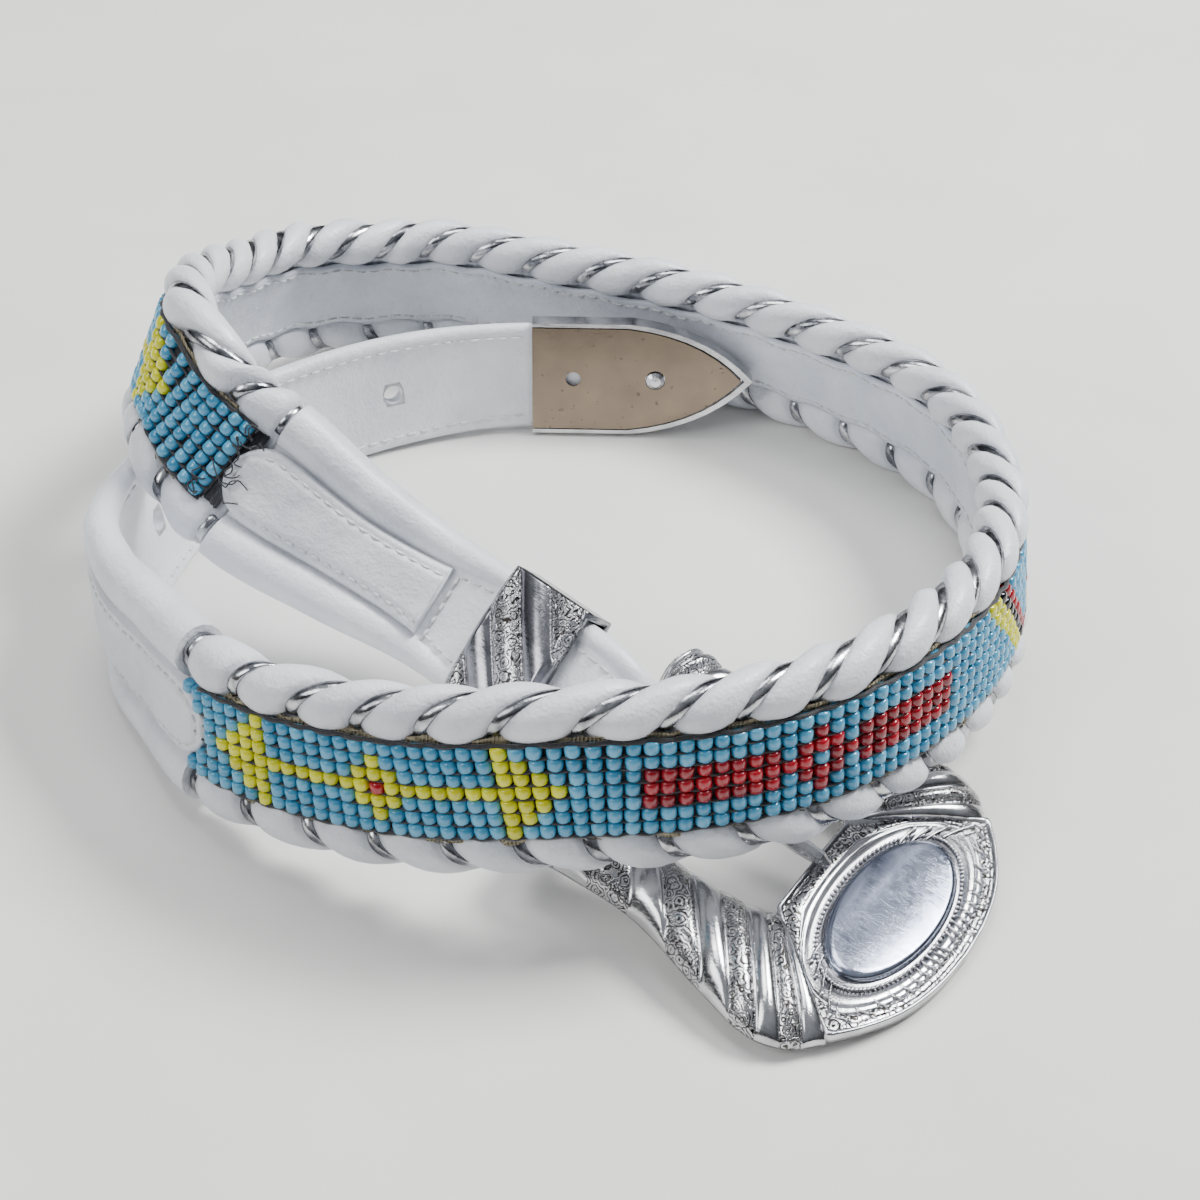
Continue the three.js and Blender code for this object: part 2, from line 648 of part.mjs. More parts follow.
function arm(side) {
  const knots = armRows.map((_, i) => i);
  const columns = Object.keys(armRows[0]);
  const slopes = {};
  for (const name of columns) slopes[name] = rowSlopes(knots, armRows.map((row) => row[name]), true);
  const value = (name, knot) => {
    const i = Math.min(Math.floor(knot), armRows.length - 2);
    const u = knot - i;
    return armRows[i][name] * (1 + 2 * u) * (1 - u) ** 2 + armRows[i + 1][name] * u * u * (3 - 2 * u)
      + slopes[name][i] * u * (1 - u) ** 2 - slopes[name][i + 1] * u * u * (1 - u);
  };
  const ringsEach = 2;
  const rings = spread(0, armRows.length - 1, gadroonCount * ringsEach).map((knot, i) => {
    const inner = new THREE.Vector2(value("innerU", knot), value("innerV", knot))
      .multiply(new THREE.Vector2(openingLength, openingWidth / 2));
    const outer = new THREE.Vector2(value("outerU", knot), value("outerV", knot))
      .multiply(new THREE.Vector2(buckleReach, buckleWidth / 2));
    const valley = i % ringsEach === 0 ? gadroonDepth : 0;
    const height = (armCrest + plateThickness) * value("crest", knot) * (1 - valley);
    return armProfile.map((row) => {
      const point = inner.clone().lerp(outer, row.across);
      return new THREE.Vector3(point.x, side * point.y, armFoot + height * row.height);
    });
  });
  const outline = armProfile.map((row) => ({ s: row.across, t: row.height }));
  return solid(lofted(rings, outline, outline));
}

function buckle() {
  const barLength = openingWidth + 2 * barRadius;
  const bar = new THREE.CylinderGeometry(barRadius, barRadius, barLength, 12);
  bar.translate(0, 0, barAbovePlate);
  const cast = plate().add(arm(1)).add(arm(-1)).add(solid(bar));
  return geometryOf(cast).applyMatrix4(buckleFrame);
}

// Prong: an eye round the bar and a tapered rod that rests on the plate's inner edge
function prong() {
  const inside = barRadius + gap;
  const outside = inside + prongEyeWall;
  const eye = solid(new THREE.CylinderGeometry(outside, outside, prongEyeWidth, 14));
  const bore = solid(new THREE.CylinderGeometry(inside, inside, 2 * prongEyeWidth, 14));
  const seat = -barAbovePlate + rimHeight + gap;
  const rodRows = [
    { along: 0.05, height: inside + 0.6, radius: 0.75 },
    { along: 0.3, height: inside + 1.8, radius: 1.1 },
    { along: 0.7, height: seat + prongRadius * 1.6, radius: 1.05 },
    { along: 0.93, height: seat + prongRadius, radius: 0.95 },
    { along: 1.04, height: seat + prongRadius * 0.85, radius: 0.8 },
    { along: 1 + prongOverPlate / openingLength, height: seat + prongRadius * 0.5, radius: 0.35 },
  ];
  const sides = 8;
  const rings = rodRows.map((row) => Array.from({ length: sides }, (_, i) => {
    const angle = 2 * Math.PI * i / sides;
    const radius = prongRadius * row.radius;
    const high = row.height + radius * Math.sin(angle);
    return new THREE.Vector3(row.along * openingLength, radius * Math.cos(angle), high);
  }));
  const outline = Array.from({ length: sides }, (_, i) => {
    const angle = 2 * Math.PI * i / sides;
    return { s: Math.cos(angle), t: Math.sin(angle) };
  });
  return geometryOf(solid(lofted(rings, outline, outline)).add(eye).subtract(bore)).applyMatrix4(barAxisFrame);
}

// The pieces
addPiece(belt, "laced_band", lacedBand(), whiteLeather);
addPiece(belt, "bead_strip", beadStrip(), turquoiseBeads);
addPiece(belt, "lining_panel", liningPanel(), liningLeather);
addPiece(belt, "billet_strap", billetStrap(), whiteLeather);
addPiece(belt, "buckle_strap", buckleStrap(), whiteLeather);
const billetTabEnd = bandStart + tabOverBand;
const buckleTabEnd = bandEnd - tabOverBand;
addPiece(belt, "billet_tab", overlayTab(billetTabEnd, billetTabEnd - billetTabLength), whiteLeather);
addPiece(belt, "buckle_tab", overlayTab(buckleTabEnd, buckleTabEnd + buckleTabLength), whiteLeather);

const keeperFrame = stationFrame(path.stations.keeper)
  .multiply(new THREE.Matrix4().makeTranslation(0, 0, keeperCrown / 2));
addPiece(belt, "keeper", keeper().applyMatrix4(keeperFrame), brightSilver);

// The tip runs straight from its base on the leather to its point
const tipStart = path.at(tipBase);
const tipAlong = path.at(0).origin.clone().sub(tipStart.origin).normalize();
const tipFace = new THREE.Vector3().crossVectors(tipStart.across, tipAlong).normalize();
const tipAcross = new THREE.Vector3().crossVectors(tipAlong, tipFace);
const tipFrame = new THREE.Matrix4().makeBasis(tipAlong, tipAcross.negate(), tipFace)
  .setPosition(tipStart.origin);
addPiece(belt, "tip_shell", tipShell().applyMatrix4(tipFrame), brightSilver);
addPiece(belt, "tip_plate", tipPlate().applyMatrix4(tipFrame), tipBack);
addPiece(belt, "tip_rivet", tipRivet().applyMatrix4(tipFrame), brightSilver);

addPiece(belt, "buckle_frame", buckle(), brightSilver);
addPiece(belt, "prong", prong(), brightSilver);

// The origin goes under the middle of the whole belt
const bounds = new THREE.Box3().setFromObject(belt);
const middle = bounds.getCenter(new THREE.Vector3());
belt.position.set(-middle.x, -middle.y, -bounds.min.z);

export default belt;
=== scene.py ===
"""Leather, lacing, loomed beads and cast silver for a coiled western belt. Metres, +Z up."""

import math

import bpy
import numpy as np
from mathutils import Matrix, Vector


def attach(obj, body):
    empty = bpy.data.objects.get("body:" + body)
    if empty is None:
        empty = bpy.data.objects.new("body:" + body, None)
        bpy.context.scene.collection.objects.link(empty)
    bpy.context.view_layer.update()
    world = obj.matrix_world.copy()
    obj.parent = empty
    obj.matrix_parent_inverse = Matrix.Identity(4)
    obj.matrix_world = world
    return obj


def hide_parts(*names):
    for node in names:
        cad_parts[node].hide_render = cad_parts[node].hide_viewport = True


bl_info = {
    "name": "Beaded belt",
    "version": (1, 0, 0),
    "blender": (4, 5, 0),
    "location": "3D View > Sidebar > Belt",
    "description": "Leather, lacing, loomed beads and cast silver for a coiled western belt",
    "category": "Object",
}

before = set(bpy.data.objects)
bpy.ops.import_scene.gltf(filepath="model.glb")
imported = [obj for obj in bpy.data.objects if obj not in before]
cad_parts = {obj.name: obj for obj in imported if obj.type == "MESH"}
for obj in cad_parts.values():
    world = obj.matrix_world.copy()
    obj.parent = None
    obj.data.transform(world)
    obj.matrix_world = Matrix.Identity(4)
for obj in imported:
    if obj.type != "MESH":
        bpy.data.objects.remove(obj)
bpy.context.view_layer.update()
MM = 0.001

# Sizes in millimetres, the same as the solids have
GAP = 0.3
COIL_WIDTH, COIL_DEPTH, BAND_WIDTH = 190.0, 186.0, 38.0
ROLL_RADIUS, LEATHER = 5.25, 3.0
COIL_SHIFT = np.array([7.158, 10.42, 0.0])
LACE_PITCH, LACE_BITE, LACE_SLANT = 13.4, 1.9, 1.3
# Half the flat place under each lace, and how far a puff stands out beyond the roll
LACE_FLOOR, PUFF_SWELL = 1.1, 0.15
STRIP_FOOT, LINING_WIDTH, LINING_THICKNESS = 1.95, 18.6, 1.6
TAB_WIDTH, TAB_THICKNESS, TAB_OVER_BAND, OVERLAY_CROWN = 16.8, 1.6, 5.0, 1.1
BILLET_TAB_LENGTH, BUCKLE_TAB_LENGTH = 58.0, 50.0
HOLE_DIAMETER, HOLE_SPACING, FIRST_HOLE, HOLE_COUNT = 4.4, 24.0, 33.5, 4
TIP_POCKET = 13.0
KEEPER_LENGTH, KEEPER_WIDTH, KEEPER_DEPTH = 20.0, 32.0, 11.0
KEEPER_WALL, KEEPER_CROWN, KEEPER_ROPE_PITCH, KEEPER_ROPE_ANGLE = 1.3, 1.4, 10.3, -50.0
BUCKLE_REACH, BUCKLE_WIDTH, OPENING_LENGTH, OPENING_WIDTH = 75.0, 78.0, 42.0, 31.0
PLATE_INNER_HALF, PLATE_THICKNESS, RIM_HEIGHT = 13.5, 2.2, 0.8
OVAL_LENGTH, OVAL_WIDTH, OVAL_RISE, OVAL_FROM_BAR = 38.0, 18.6, 1.7, 59.0
BAR_RADIUS, BAR_ABOVE_PLATE, ARM_CREST, GADROONS = 2.2, 0.8, 4.2, 12
BUCKLE_YAW, BUCKLE_PITCH = math.radians(-33), math.radians(8.5)
PRONG_EYE_WIDTH = 5.4
BAR_HEIGHT = BUCKLE_REACH * math.sin(BUCKLE_PITCH) + (PLATE_THICKNESS + BAR_ABOVE_PLATE) * math.cos(BUCKLE_PITCH)
LIFT_OVER_BUCKLE = (
    BAR_HEIGHT - 9 * math.sin(BUCKLE_PITCH) + (ARM_CREST - BAR_ABOVE_PLATE) * math.cos(BUCKLE_PITCH) + 1.2
)
LIFT_OVER_BILLET = 0.83 * BAND_WIDTH + GAP

# The middle of the leather, from the billet's point to the buckle's bar, as the solids have it
COIL_COLUMNS = ("x", "y", "buckle", "billet", "bar", "lean", "width", "roll")
COIL_ROWS = (
    ("tip point", 0.368, 0.688, 0, 0.06, 0, -10, 0.665, 0.32),
    ("in the tip", -0.047, 0.694, 0, 0.05, 0, -10, 0.665, 0.3),
    ("tip base", -0.174, 0.695, 0, 0.045, 0, -10, 0.672, 0.3),
    ("first hole", -0.505, 0.61, 0, 0.015, 0, -10, 0.724, 0.38),
    ("second hole", -0.73, 0.475, 0, 0, 0, -10, 0.745, 0.38),
    ("third hole", -0.955, 0.199, 0, 0, 0, -10, 0.79, 0.4),
    ("last hole", -1.002, 0.054, 0, 0, 0, -9, 0.86, 0.44),
    ("curl", -1.045, -0.183, 0, 0, 0, -4, 0.93, 0.66),
    ("curl end", -1.006, -0.323, 0, 0, 0, 1, 0.97, 0.82),
    ("front corner", -0.888, -0.505, 0.05, 0, 0, 6, 1, 0.96),
    ("band start", -0.786, -0.649, 0.15, 0, 0, 9, 1, 1),
    ("front left", -0.4, -0.892, 0.55, 0, 0, 9, 1, 1),
    ("over the near arm", 0.039, -0.971, 1, 0, 0, 9, 1, 1),
    ("over the far arm", 0.452, -0.843, 0.97, 0, 0, 10, 1, 1),
    ("front right", 0.759, -0.475, 0.6, 0, 0, 8, 1, 1),
    ("right", 0.873, -0.022, 0.12, 0, 0, 7, 1, 1),
    ("back right", 0.806, 0.357, 0, 0, 0, 10, 1, 1),
    ("back", 0.426, 0.714, 0, 0, 0, 13, 1, 1),
    ("back middle", -0.089, 0.926, 0, 0, 0, 10, 1, 1),
    ("back left", -0.492, 1.022, 0, 0, 0, 10, 1, 1),
    ("turning", -0.761, 0.911, 0, 0.13, 0, 11, 1, 1),
    ("climbing", -0.905, 0.657, 0, 0.4, 0, 15, 1, 1),
    ("left", -0.968, 0.39, 0, 0.76, 0, 21, 1, 1),
    ("over the billet", -0.923, 0.108, 0, 1, 0, 27, 1, 1),
    ("past the billet", -0.853, 0.005, 0, 0.84, 0, 32, 1, 1),
    ("band end", -0.741, -0.077, 0, 0.65, 0, 38, 1, 1),
    ("buckle tab", -0.537, -0.172, 0, 0.41, 0, 41, 0.86, 0.9),
    ("cross seam", -0.345, -0.252, 0, 0.23, 0, 44, 0.75, 0.64),
    ("keeper back", -0.24, -0.333, 0, 0, 0.5, 45, 0.74, 0.46),
    ("keeper", -0.16, -0.414, 0, 0, 0.46, 45.5, 0.74, 0.45),
    ("keeper front", -0.082, -0.493, 0, 0, 0.5, 46.5, 0.74, 0.45),
    ("bar", 0.054, -0.652, 0, 0, 1, 90, 0.74, 0.45),
)


def row_slopes(knots, values, free):
    """Slopes at the rows: free for the plan, and without overshoot for heights and widths."""
    steps = np.diff(values) / np.diff(knots)
    before, after = steps[:-1], steps[1:]
    share = np.diff(knots)[:-1] / (knots[2:] - knots[:-2])
    slopes = np.empty(len(values))
    slopes[0], slopes[-1] = steps[0], steps[-1]
    if free:
        slopes[1:-1] = before * (1 - share) + after * share
    else:
        same_way = before * after > 0
        total = np.where(same_way, before + after, 1)
        slopes[1:-1] = np.where(same_way, 2 * before * after / total, 0)
    return slopes


def smooth_through(knots, values, slopes, at):
    """Values of the smooth curve through the rows, at those places."""
    i = np.clip(np.searchsorted(knots, at) - 1, 0, len(knots) - 2)
    span = knots[i + 1] - knots[i]
    u = (at - knots[i]) / span
    return (
        values[i] * (1 + 2 * u) * (1 - u) ** 2
        + values[i + 1] * u * u * (3 - 2 * u)
        + span * (slopes[i] * u * (1 - u) ** 2 - slopes[i + 1] * u * u * (1 - u))
    )


def unit(vectors):
    """The same directions, each of length one."""
    return vectors / np.linalg.norm(vectors, axis=-1, keepdims=True)


class Coil:
    """The line that the leather follows. Its stations are millimetres from the billet's point."""

    def __init__(self):
        table = {name: np.array([row[i + 1] for row in COIL_ROWS], float) for i, name in enumerate(COIL_COLUMNS)}
        columns = {
            "x": table["x"] * COIL_WIDTH / 2,
            "y": table["y"] * COIL_DEPTH / 2,
            "lean": table["lean"],
            "width": table["width"] * BAND_WIDTH,
            "roll": table["roll"] * ROLL_RADIUS,
        }
        to_bar = BAR_HEIGHT - columns["roll"][-1]
        columns["lift"] = (
            table["buckle"] * LIFT_OVER_BUCKLE + table["billet"] * LIFT_OVER_BILLET + table["bar"] * to_bar
        )
        chords = np.hypot(np.diff(columns["x"]), np.diff(columns["y"]))
        knots = np.concatenate([[0], np.cumsum(chords)])
        places = np.linspace(0, knots[-1], 1501)
        values = {}
        for name, rows in columns.items():
            slopes = row_slopes(knots, rows, name in ("x", "y"))
            if name == "x":
                slopes[-1] = math.cos(BUCKLE_YAW)
            if name == "y":
                slopes[-1] = math.sin(BUCKLE_YAW)
            values[name] = smooth_through(knots, rows, slopes, places)
        half = values["width"] / 2 - values["roll"]
        height = values["lift"] + half * np.cos(np.radians(values["lean"])) + values["roll"]
        self.points = np.stack([values["x"], values["y"], height], 1) + COIL_SHIFT
        self.lengths = np.concatenate([[0], np.cumsum(np.linalg.norm(np.diff(self.points, axis=0), axis=1))])
        count = len(places)
        before = np.clip(np.arange(count) - 2, 0, count - 1)
        after = np.clip(np.arange(count) + 2, 0, count - 1)
        self.tangents = unit(self.points[after] - self.points[before])
        self.values = values
        self.length = self.lengths[-1]
        rows_at = np.round(knots / knots[-1] * (count - 1)).astype(int)
        self.stations = {row[0]: self.lengths[i] for row, i in zip(COIL_ROWS, rows_at)}

    def at(self, stations):
        """The leather's frame at those stations: origin, tangent, across, outward, width and roll."""
        stations = np.asarray(stations, float)
        mix = lambda rows: np.stack([np.interp(stations, self.lengths, rows[:, k]) for k in range(3)], -1)
        tangent = unit(mix(self.tangents))
        inward = unit(np.stack([-tangent[..., 1], tangent[..., 0], np.zeros_like(stations)], -1))
        up = unit(np.cross(tangent, inward))
        lean = np.radians(np.interp(stations, self.lengths, self.values["lean"]))[..., None]
        across = up * np.cos(lean) + inward * np.sin(lean)
        return {
            "origin": mix(self.points),
            "tangent": tangent,
            "across": across,
            "outward": np.cross(tangent, across),
            "width": np.interp(stations, self.lengths, self.values["width"]),
            "roll": np.interp(stations, self.lengths, self.values["roll"]),
        }

    def place(self, stations, across, outward):
        """Points in the frame, in mm, at those stations and distances from the leather's middle."""
        here = self.at(stations)
        return here["origin"] + here["across"] * np.asarray(across)[..., None] + here["outward"] * np.asarray(outward)[..., None]


COIL = Coil()
BAND_START, BAND_END = COIL.stations["band start"], COIL.stations["band end"]
SCALLOPS = round((BAND_END - BAND_START) / LACE_PITCH)
PITCH = (BAND_END - BAND_START) / SCALLOPS
FIRST_LACE = BAND_START + GAP
LACE_STEP = (BAND_END - BAND_START - 2 * GAP) / SCALLOPS
TIP_BASE = COIL.stations["tip base"]


def buckle_matrices():
    """The buckle's own frame in mm, x from the bar to the front edge, and the bar's, as the solids have them."""
    bar = Vector(COIL.points[-1])
    bar.z = BAR_HEIGHT
    turned = Matrix.Translation(bar) @ Matrix.Rotation(BUCKLE_YAW, 4, "Z") @ Matrix.Rotation(BUCKLE_PITCH, 4, "Y")
    return turned @ Matrix.Translation((0, 0, -BAR_ABOVE_PLATE)), turned


BUCKLE_FRAME, BAR_FRAME = buckle_matrices()


def keeper_matrix():
    """The keeper's frame in mm: length along x, width along y, face towards z."""
    here = COIL.at(COIL.stations["keeper"])
    turned = Matrix([[here[name][k] for name in ("tangent", "across", "outward")] for k in range(3)]).to_4x4()
    return Matrix.Translation(Vector(here["origin"])) @ turned @ Matrix.Translation((0, 0, KEEPER_CROWN / 2))


KEEPER_FRAME = keeper_matrix()


def moved(matrix, points):
    """Points in mm put through a matrix."""
    rows = np.array(matrix)
    return np.asarray(points, float) @ rows[:3, :3].T + rows[:3, 3]


def ripples(x, y, wave, seed):
    """Soft unevenness between about -1 and 1, of that wavelength, the same each time."""
    chance = np.random.default_rng(seed)
    total = np.zeros(np.broadcast(x, y).shape)
    for _ in range(6):
        angle = chance.uniform(0, math.tau)
        turn = math.tau / (wave * chance.uniform(0.7, 1.6))
        total = total + np.sin((x * math.cos(angle) + y * math.sin(angle)) * turn + chance.uniform(0, math.tau))
    return total / 3


def build(name, points, faces, materials, body, local=None, tone_and_lace_shade=None, slots=None, smooth=True, replaces=()):
    """A mesh piece from points in mm that rides on a body. local holds each point's place in the piece's own mm."""
    mesh = bpy.data.meshes.new(name)
    mesh.from_pydata((np.asarray(points) * MM).tolist(), [], faces)
    for number in materials:
        mesh.materials.append(number)
    if slots is not None:
        mesh.polygons.foreach_set("material_index", np.asarray(slots, np.int32))
    attribute = mesh.attributes.new("piece_mm", "FLOAT_VECTOR", "POINT")
    attribute.data.foreach_set("vector", np.asarray(points if local is None else local, np.float32).ravel())
    if tone_and_lace_shade is not None:
        attribute = mesh.attributes.new("tone_and_lace_shade", "FLOAT", "POINT")
        attribute.data.foreach_set("value", np.asarray(tone_and_lace_shade, np.float32).ravel())
    mesh.polygons.foreach_set("use_smooth", [smooth] * len(mesh.polygons))
    mesh.update()
    piece = bpy.data.objects.new(name, mesh)
    bpy.context.scene.collection.objects.link(piece)
    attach(piece, body)
    if replaces:
        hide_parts(*replaces)
    return piece


def tube_faces(rings, count, caps=True, first=0):
    """Quads round a closed tube, whose rings have count points each, with its two ends."""
    i, j = np.meshgrid(np.arange(rings - 1), np.arange(count), indexing="ij")
    a = first + i * count + j
    b = first + i * count + (j + 1) % count
    faces = np.stack([a, b, b + count, a + count], -1).reshape(-1, 4).tolist()
    if caps:
        faces.append(list(range(first + count - 1, first - 1, -1)))
        faces.append(list(range(first + (rings - 1) * count, first + rings * count)))
    return faces


def outward_faces(points, faces):
    """The same faces, turned so that the body's volume is positive."""
    total = 0.0
    for face in faces:
        corners = points[face]
        for k in range(1, len(face) - 1):
            total += np.dot(corners[0], np.cross(corners[k], corners[k + 1]))
    return faces if total > 0 else [face[::-1] for face in faces]


def swept(stations, across, outward, shift=0.0):
    """A closed body along the belt. across and outward have a row of section points for each station."""
    along = np.broadcast_to(np.asarray(stations)[:, None] + shift, across.shape)
    points = COIL.place(along, across, outward).reshape(-1, 3)
    local = np.stack([along, across, outward], -1).reshape(-1, 3)
    faces = outward_faces(points, tube_faces(len(stations), across.shape[1]))
    return points, faces, local


def joined(parts):
    """One body's points, faces and extras from several."""
    points, faces, first = [], [], 0
    for part_points, part_faces in parts:
        points.append(part_points)
        faces.extend([[first + k for k in face] for face in part_faces])
        first += len(part_points)
    return np.concatenate(points), faces


def repeated(points, faces, origins, axes):
    """Copies of one small body: each copy's own x, y and z axes are the rows of its 3 by 3 in axes."""
    made = np.einsum("pk,nkj->npj", points, axes) + origins[:, None, :]
    size = len(points)
    all_faces = [[k * size + i for i in face] for k in range(len(origins)) for face in faces]
    return made.reshape(-1, 3), all_faces


def lathed(profile, sides):
    """A small body turned about y, from rows of radius and height, with flat ends."""
    angles = np.arange(sides) * math.tau / sides
    rings = [[(r * math.cos(a), h, r * math.sin(a)) for a in angles] for r, h in profile]
    points = np.array(rings).reshape(-1, 3)
    return points, outward_faces(points, tube_faces(len(profile), sides))


def ribbon(line, normals, half_width, thickness):
    """A flat lace along a line, lying on its normals, with softly rounded edges."""
    along = unit(np.gradient(line, axis=0))
    side = unit(np.cross(normals, along))
    outline = ((-1, 0), (-0.8, 0.85), (0, 1.1), (0.8, 0.85), (1, 0), (0, -0.4))
    rings = [line + side * half_width * u + normals * thickness * v for u, v in outline]
    points = np.stack(rings, 1).reshape(-1, 3)
    return points, outward_faces(points, tube_faces(len(line), len(outline)))


def cord_body(line, radius, sides=6):
    """A round thread or wire along a line; radius may change along it."""
    along = unit(np.gradient(line, axis=0))
    guide = np.array([0.31, 0.23, 0.92])
    side = unit(np.cross(along, guide))
    other = np.cross(along, side)
    radius = np.broadcast_to(radius, len(line))[:, None, None]
    angles = np.arange(sides) * math.tau / sides
    rings = line[:, None, :] + radius * (
        side[:, None, :] * np.cos(angles)[None, :, None] + other[:, None, :] * np.sin(angles)[None, :, None]
    )
    points = rings.reshape(-1, 3)
    return points, outward_faces(points, tube_faces(len(line), sides))


def stitches(line, normals, length, pitch, radius):
    """Thread stitches along a line: each dips into the leather at both ends."""
    steps = np.concatenate([[0], np.cumsum(np.linalg.norm(np.diff(line, axis=0), axis=1))])
    parts = []
    bow = np.array([-0.9, 0.25, 0.7, 0.25, -0.9]) * radius
    for start in np.arange(pitch * 0.3, steps[-1] - length, pitch):
        at = start + np.linspace(0, length, len(bow))
        points = np.stack([np.interp(at, steps, line[:, k]) for k in range(3)], -1)
        lift = np.stack([np.interp(at, steps, normals[:, k]) for k in range(3)], -1)
        parts.append(cord_body(points + unit(lift) * bow[:, None], radius))
    return joined(parts)


def belt_line(stations, across, outward, side=1):
    """A line on the leather and the directions that point off it."""
    stations = np.asarray(stations, float)
    across = np.broadcast_to(across, stations.shape)
    outward = np.broadcast_to(outward, stations.shape)
    return COIL.place(stations, across, outward), COIL.at(stations)["outward"] * side


def linear(colour):
    """An sRGB hex colour as linear red, green and blue with alpha."""
    shares = [int(colour[i : i + 2], 16) / 255 for i in (1, 3, 5)]
    return tuple(c / 12.92 if c <= 0.04045 else ((c + 0.055) / 1.055) ** 2.4 for c in shares) + (1.0,)


def node(tree, kind, links=None, **settings):
    """Adds a node. Settings that name a socket set its value, others set the node; links feed its sockets."""
    made = tree.nodes.new(kind)
    for name, value in settings.items():
        if hasattr(made, name):
            setattr(made, name, value)
        else:
            made.inputs[name.replace("_", " ")].default_value = value
    for socket, source in (links or {}).items():
        tree.links.new(source, made.inputs[socket])
    return made


def material(name, base, roughness, metallic=0.0):
    """A named material with its shader."""
    made = bpy.data.materials.new(name)
    made.use_nodes = True
    tree = made.node_tree
    tree.nodes.clear()
    shader = node(tree, "ShaderNodeBsdfPrincipled", Roughness=roughness, Metallic=metallic)
    shader.inputs["Base Color"].default_value = linear(base)
    output = tree.nodes.new("ShaderNodeOutputMaterial")
    tree.links.new(shader.outputs[0], output.inputs[0])
    made.diffuse_color = linear(base)
    return made, tree, shader


def own_place(tree, cad_node=False):
    """The place on the piece in mm, from its own attribute or, on a CAD node, from its object."""
    if not cad_node:
        return node(tree, "ShaderNodeAttribute", attribute_name="piece_mm").outputs["Vector"]
    place = tree.nodes.new("ShaderNodeTexCoord")
    scaled = node(tree, "ShaderNodeVectorMath", {0: place.outputs["Object"]}, operation="SCALE", Scale=1 / MM)
    return scaled.outputs[0]


def mixed(tree, share, first, second):
    """A colour between two, by a share from 0 to 1."""
    made = node(tree, "ShaderNodeMix", {0: share}, data_type="RGBA")
    for socket, colour in ((6, first), (7, second)):
        if isinstance(colour, str):
            made.inputs[socket].default_value = linear(colour)
        else:
            tree.links.new(colour, made.inputs[socket])
    return made.outputs[2]


def ranged(tree, value, low, high, to_low=0.0, to_high=1.0):
    """A value stretched from one range to another and held inside it."""
    made = node(tree, "ShaderNodeMapRange", {0: value})
    for socket, number in zip((1, 2, 3, 4), (low, high, to_low, to_high)):
        made.inputs[socket].default_value = number
    return made.outputs[0]


def bumped(tree, shader, layers):
    """Puts bumps on the shader: rows of height and its size in mm."""
    normal = None
    for height, size in layers:
        links = {"Height": height}
        if normal is not None:
            links["Normal"] = normal
        normal = node(tree, "ShaderNodeBump", links, Strength=1.0, Distance=size * MM).outputs[0]
    tree.links.new(normal, shader.inputs["Normal"])


def noise(tree, place, size_mm, detail=3.0, rough=0.55):
    """Noise whose patches are about that size."""
    made = node(tree, "ShaderNodeTexNoise", {"Vector": place}, Scale=1 / size_mm, Detail=detail, Roughness=rough)
    return made.outputs[0]


def cells(tree, place, size_mm, feature="F1"):
    """Distances in a field of cells of that size."""
    made = node(tree, "ShaderNodeTexVoronoi", {"Vector": place}, feature=feature, Scale=1 / size_mm)
    return made.outputs["Distance"]


# worn is the colour of dust and wear, and also of the painted shade beside the laces
def calf_leather(name, base, shade, worn):
    """Drum-dyed, pearl-finished calf: a fine closed grain, soft pulls in the surface and an even satin gloss."""
    made, tree, shader = material(name, base, 0.4)
    place = own_place(tree)
    cloudy = ranged(tree, noise(tree, place, 16, 3), 0.4, 0.7)
    dusty = ranged(tree, noise(tree, place, 2.4, 5, 0.7), 0.58, 0.8, 0, 0.35)
    colour = mixed(tree, dusty, mixed(tree, cloudy, base, shade), worn)
    # Painted shade, with some grime, darkens the leather where the lace pulls it in: the worn colour stands in for the
    # shade in the valleys beside each lace
    lace_shade_and_grime = node(tree, "ShaderNodeAttribute", attribute_name="tone_and_lace_shade").outputs["Fac"]
    colour = mixed(tree, lace_shade_and_grime, colour, worn)
    tree.links.new(colour, shader.inputs["Base Color"])
    tree.links.new(ranged(tree, noise(tree, place, 5, 3), 0.3, 0.7, 0.32, 0.46), shader.inputs["Roughness"])
    shader.inputs["Coat Weight"].default_value = 0.2
    shader.inputs["Coat Roughness"].default_value = 0.22
    shader.inputs["Sheen Weight"].default_value = 0.06
    # Grain of about 0.4 mm, drawn as 0.7 mm so that it shows
    grain = cells(tree, place, 0.7)
    bumped(tree, shader, [(noise(tree, place, 5, 3), 0.3), (noise(tree, place, 1.5, 4, 0.6), 0.24), (grain, 0.07)])
    return made


def warp(tree, place, size_mm, reach_mm):
    """A soft push in mm that bends a pattern's lines."""
    made = node(tree, "ShaderNodeTexNoise", {"Vector": place}, Scale=1 / size_mm, Detail=2.0)
    centred = node(tree, "ShaderNodeVectorMath", {0: made.outputs["Color"]}, operation="SUBTRACT")
    centred.inputs[1].default_value = (0.5, 0.5, 0.5)
    scaled = node(tree, "ShaderNodeVectorMath", {0: centred.outputs[0]}, operation="SCALE", Scale=reach_mm)
    return scaled.outputs[0]


def glass_beads(name, base, deep):
    """Pressed opaque glass: a saturated body under a wet-looking gloss, each bead a little different."""
    made, tree, shader = material(name, base, 0.16)
    tone_and_lace_shade = node(tree, "ShaderNodeAttribute", attribute_name="tone_and_lace_shade").outputs["Fac"]
    tree.links.new(mixed(tree, tone_and_lace_shade, base, deep), shader.inputs["Base Color"])
    shader.inputs["IOR"].default_value = 1.52
    shader.inputs["Coat Weight"].default_value = 0.35
    shader.inputs["Coat Roughness"].default_value = 0.06
    bumped(tree, shader, [(noise(tree, own_place(tree), 0.9, 2), 0.05)])
    return made


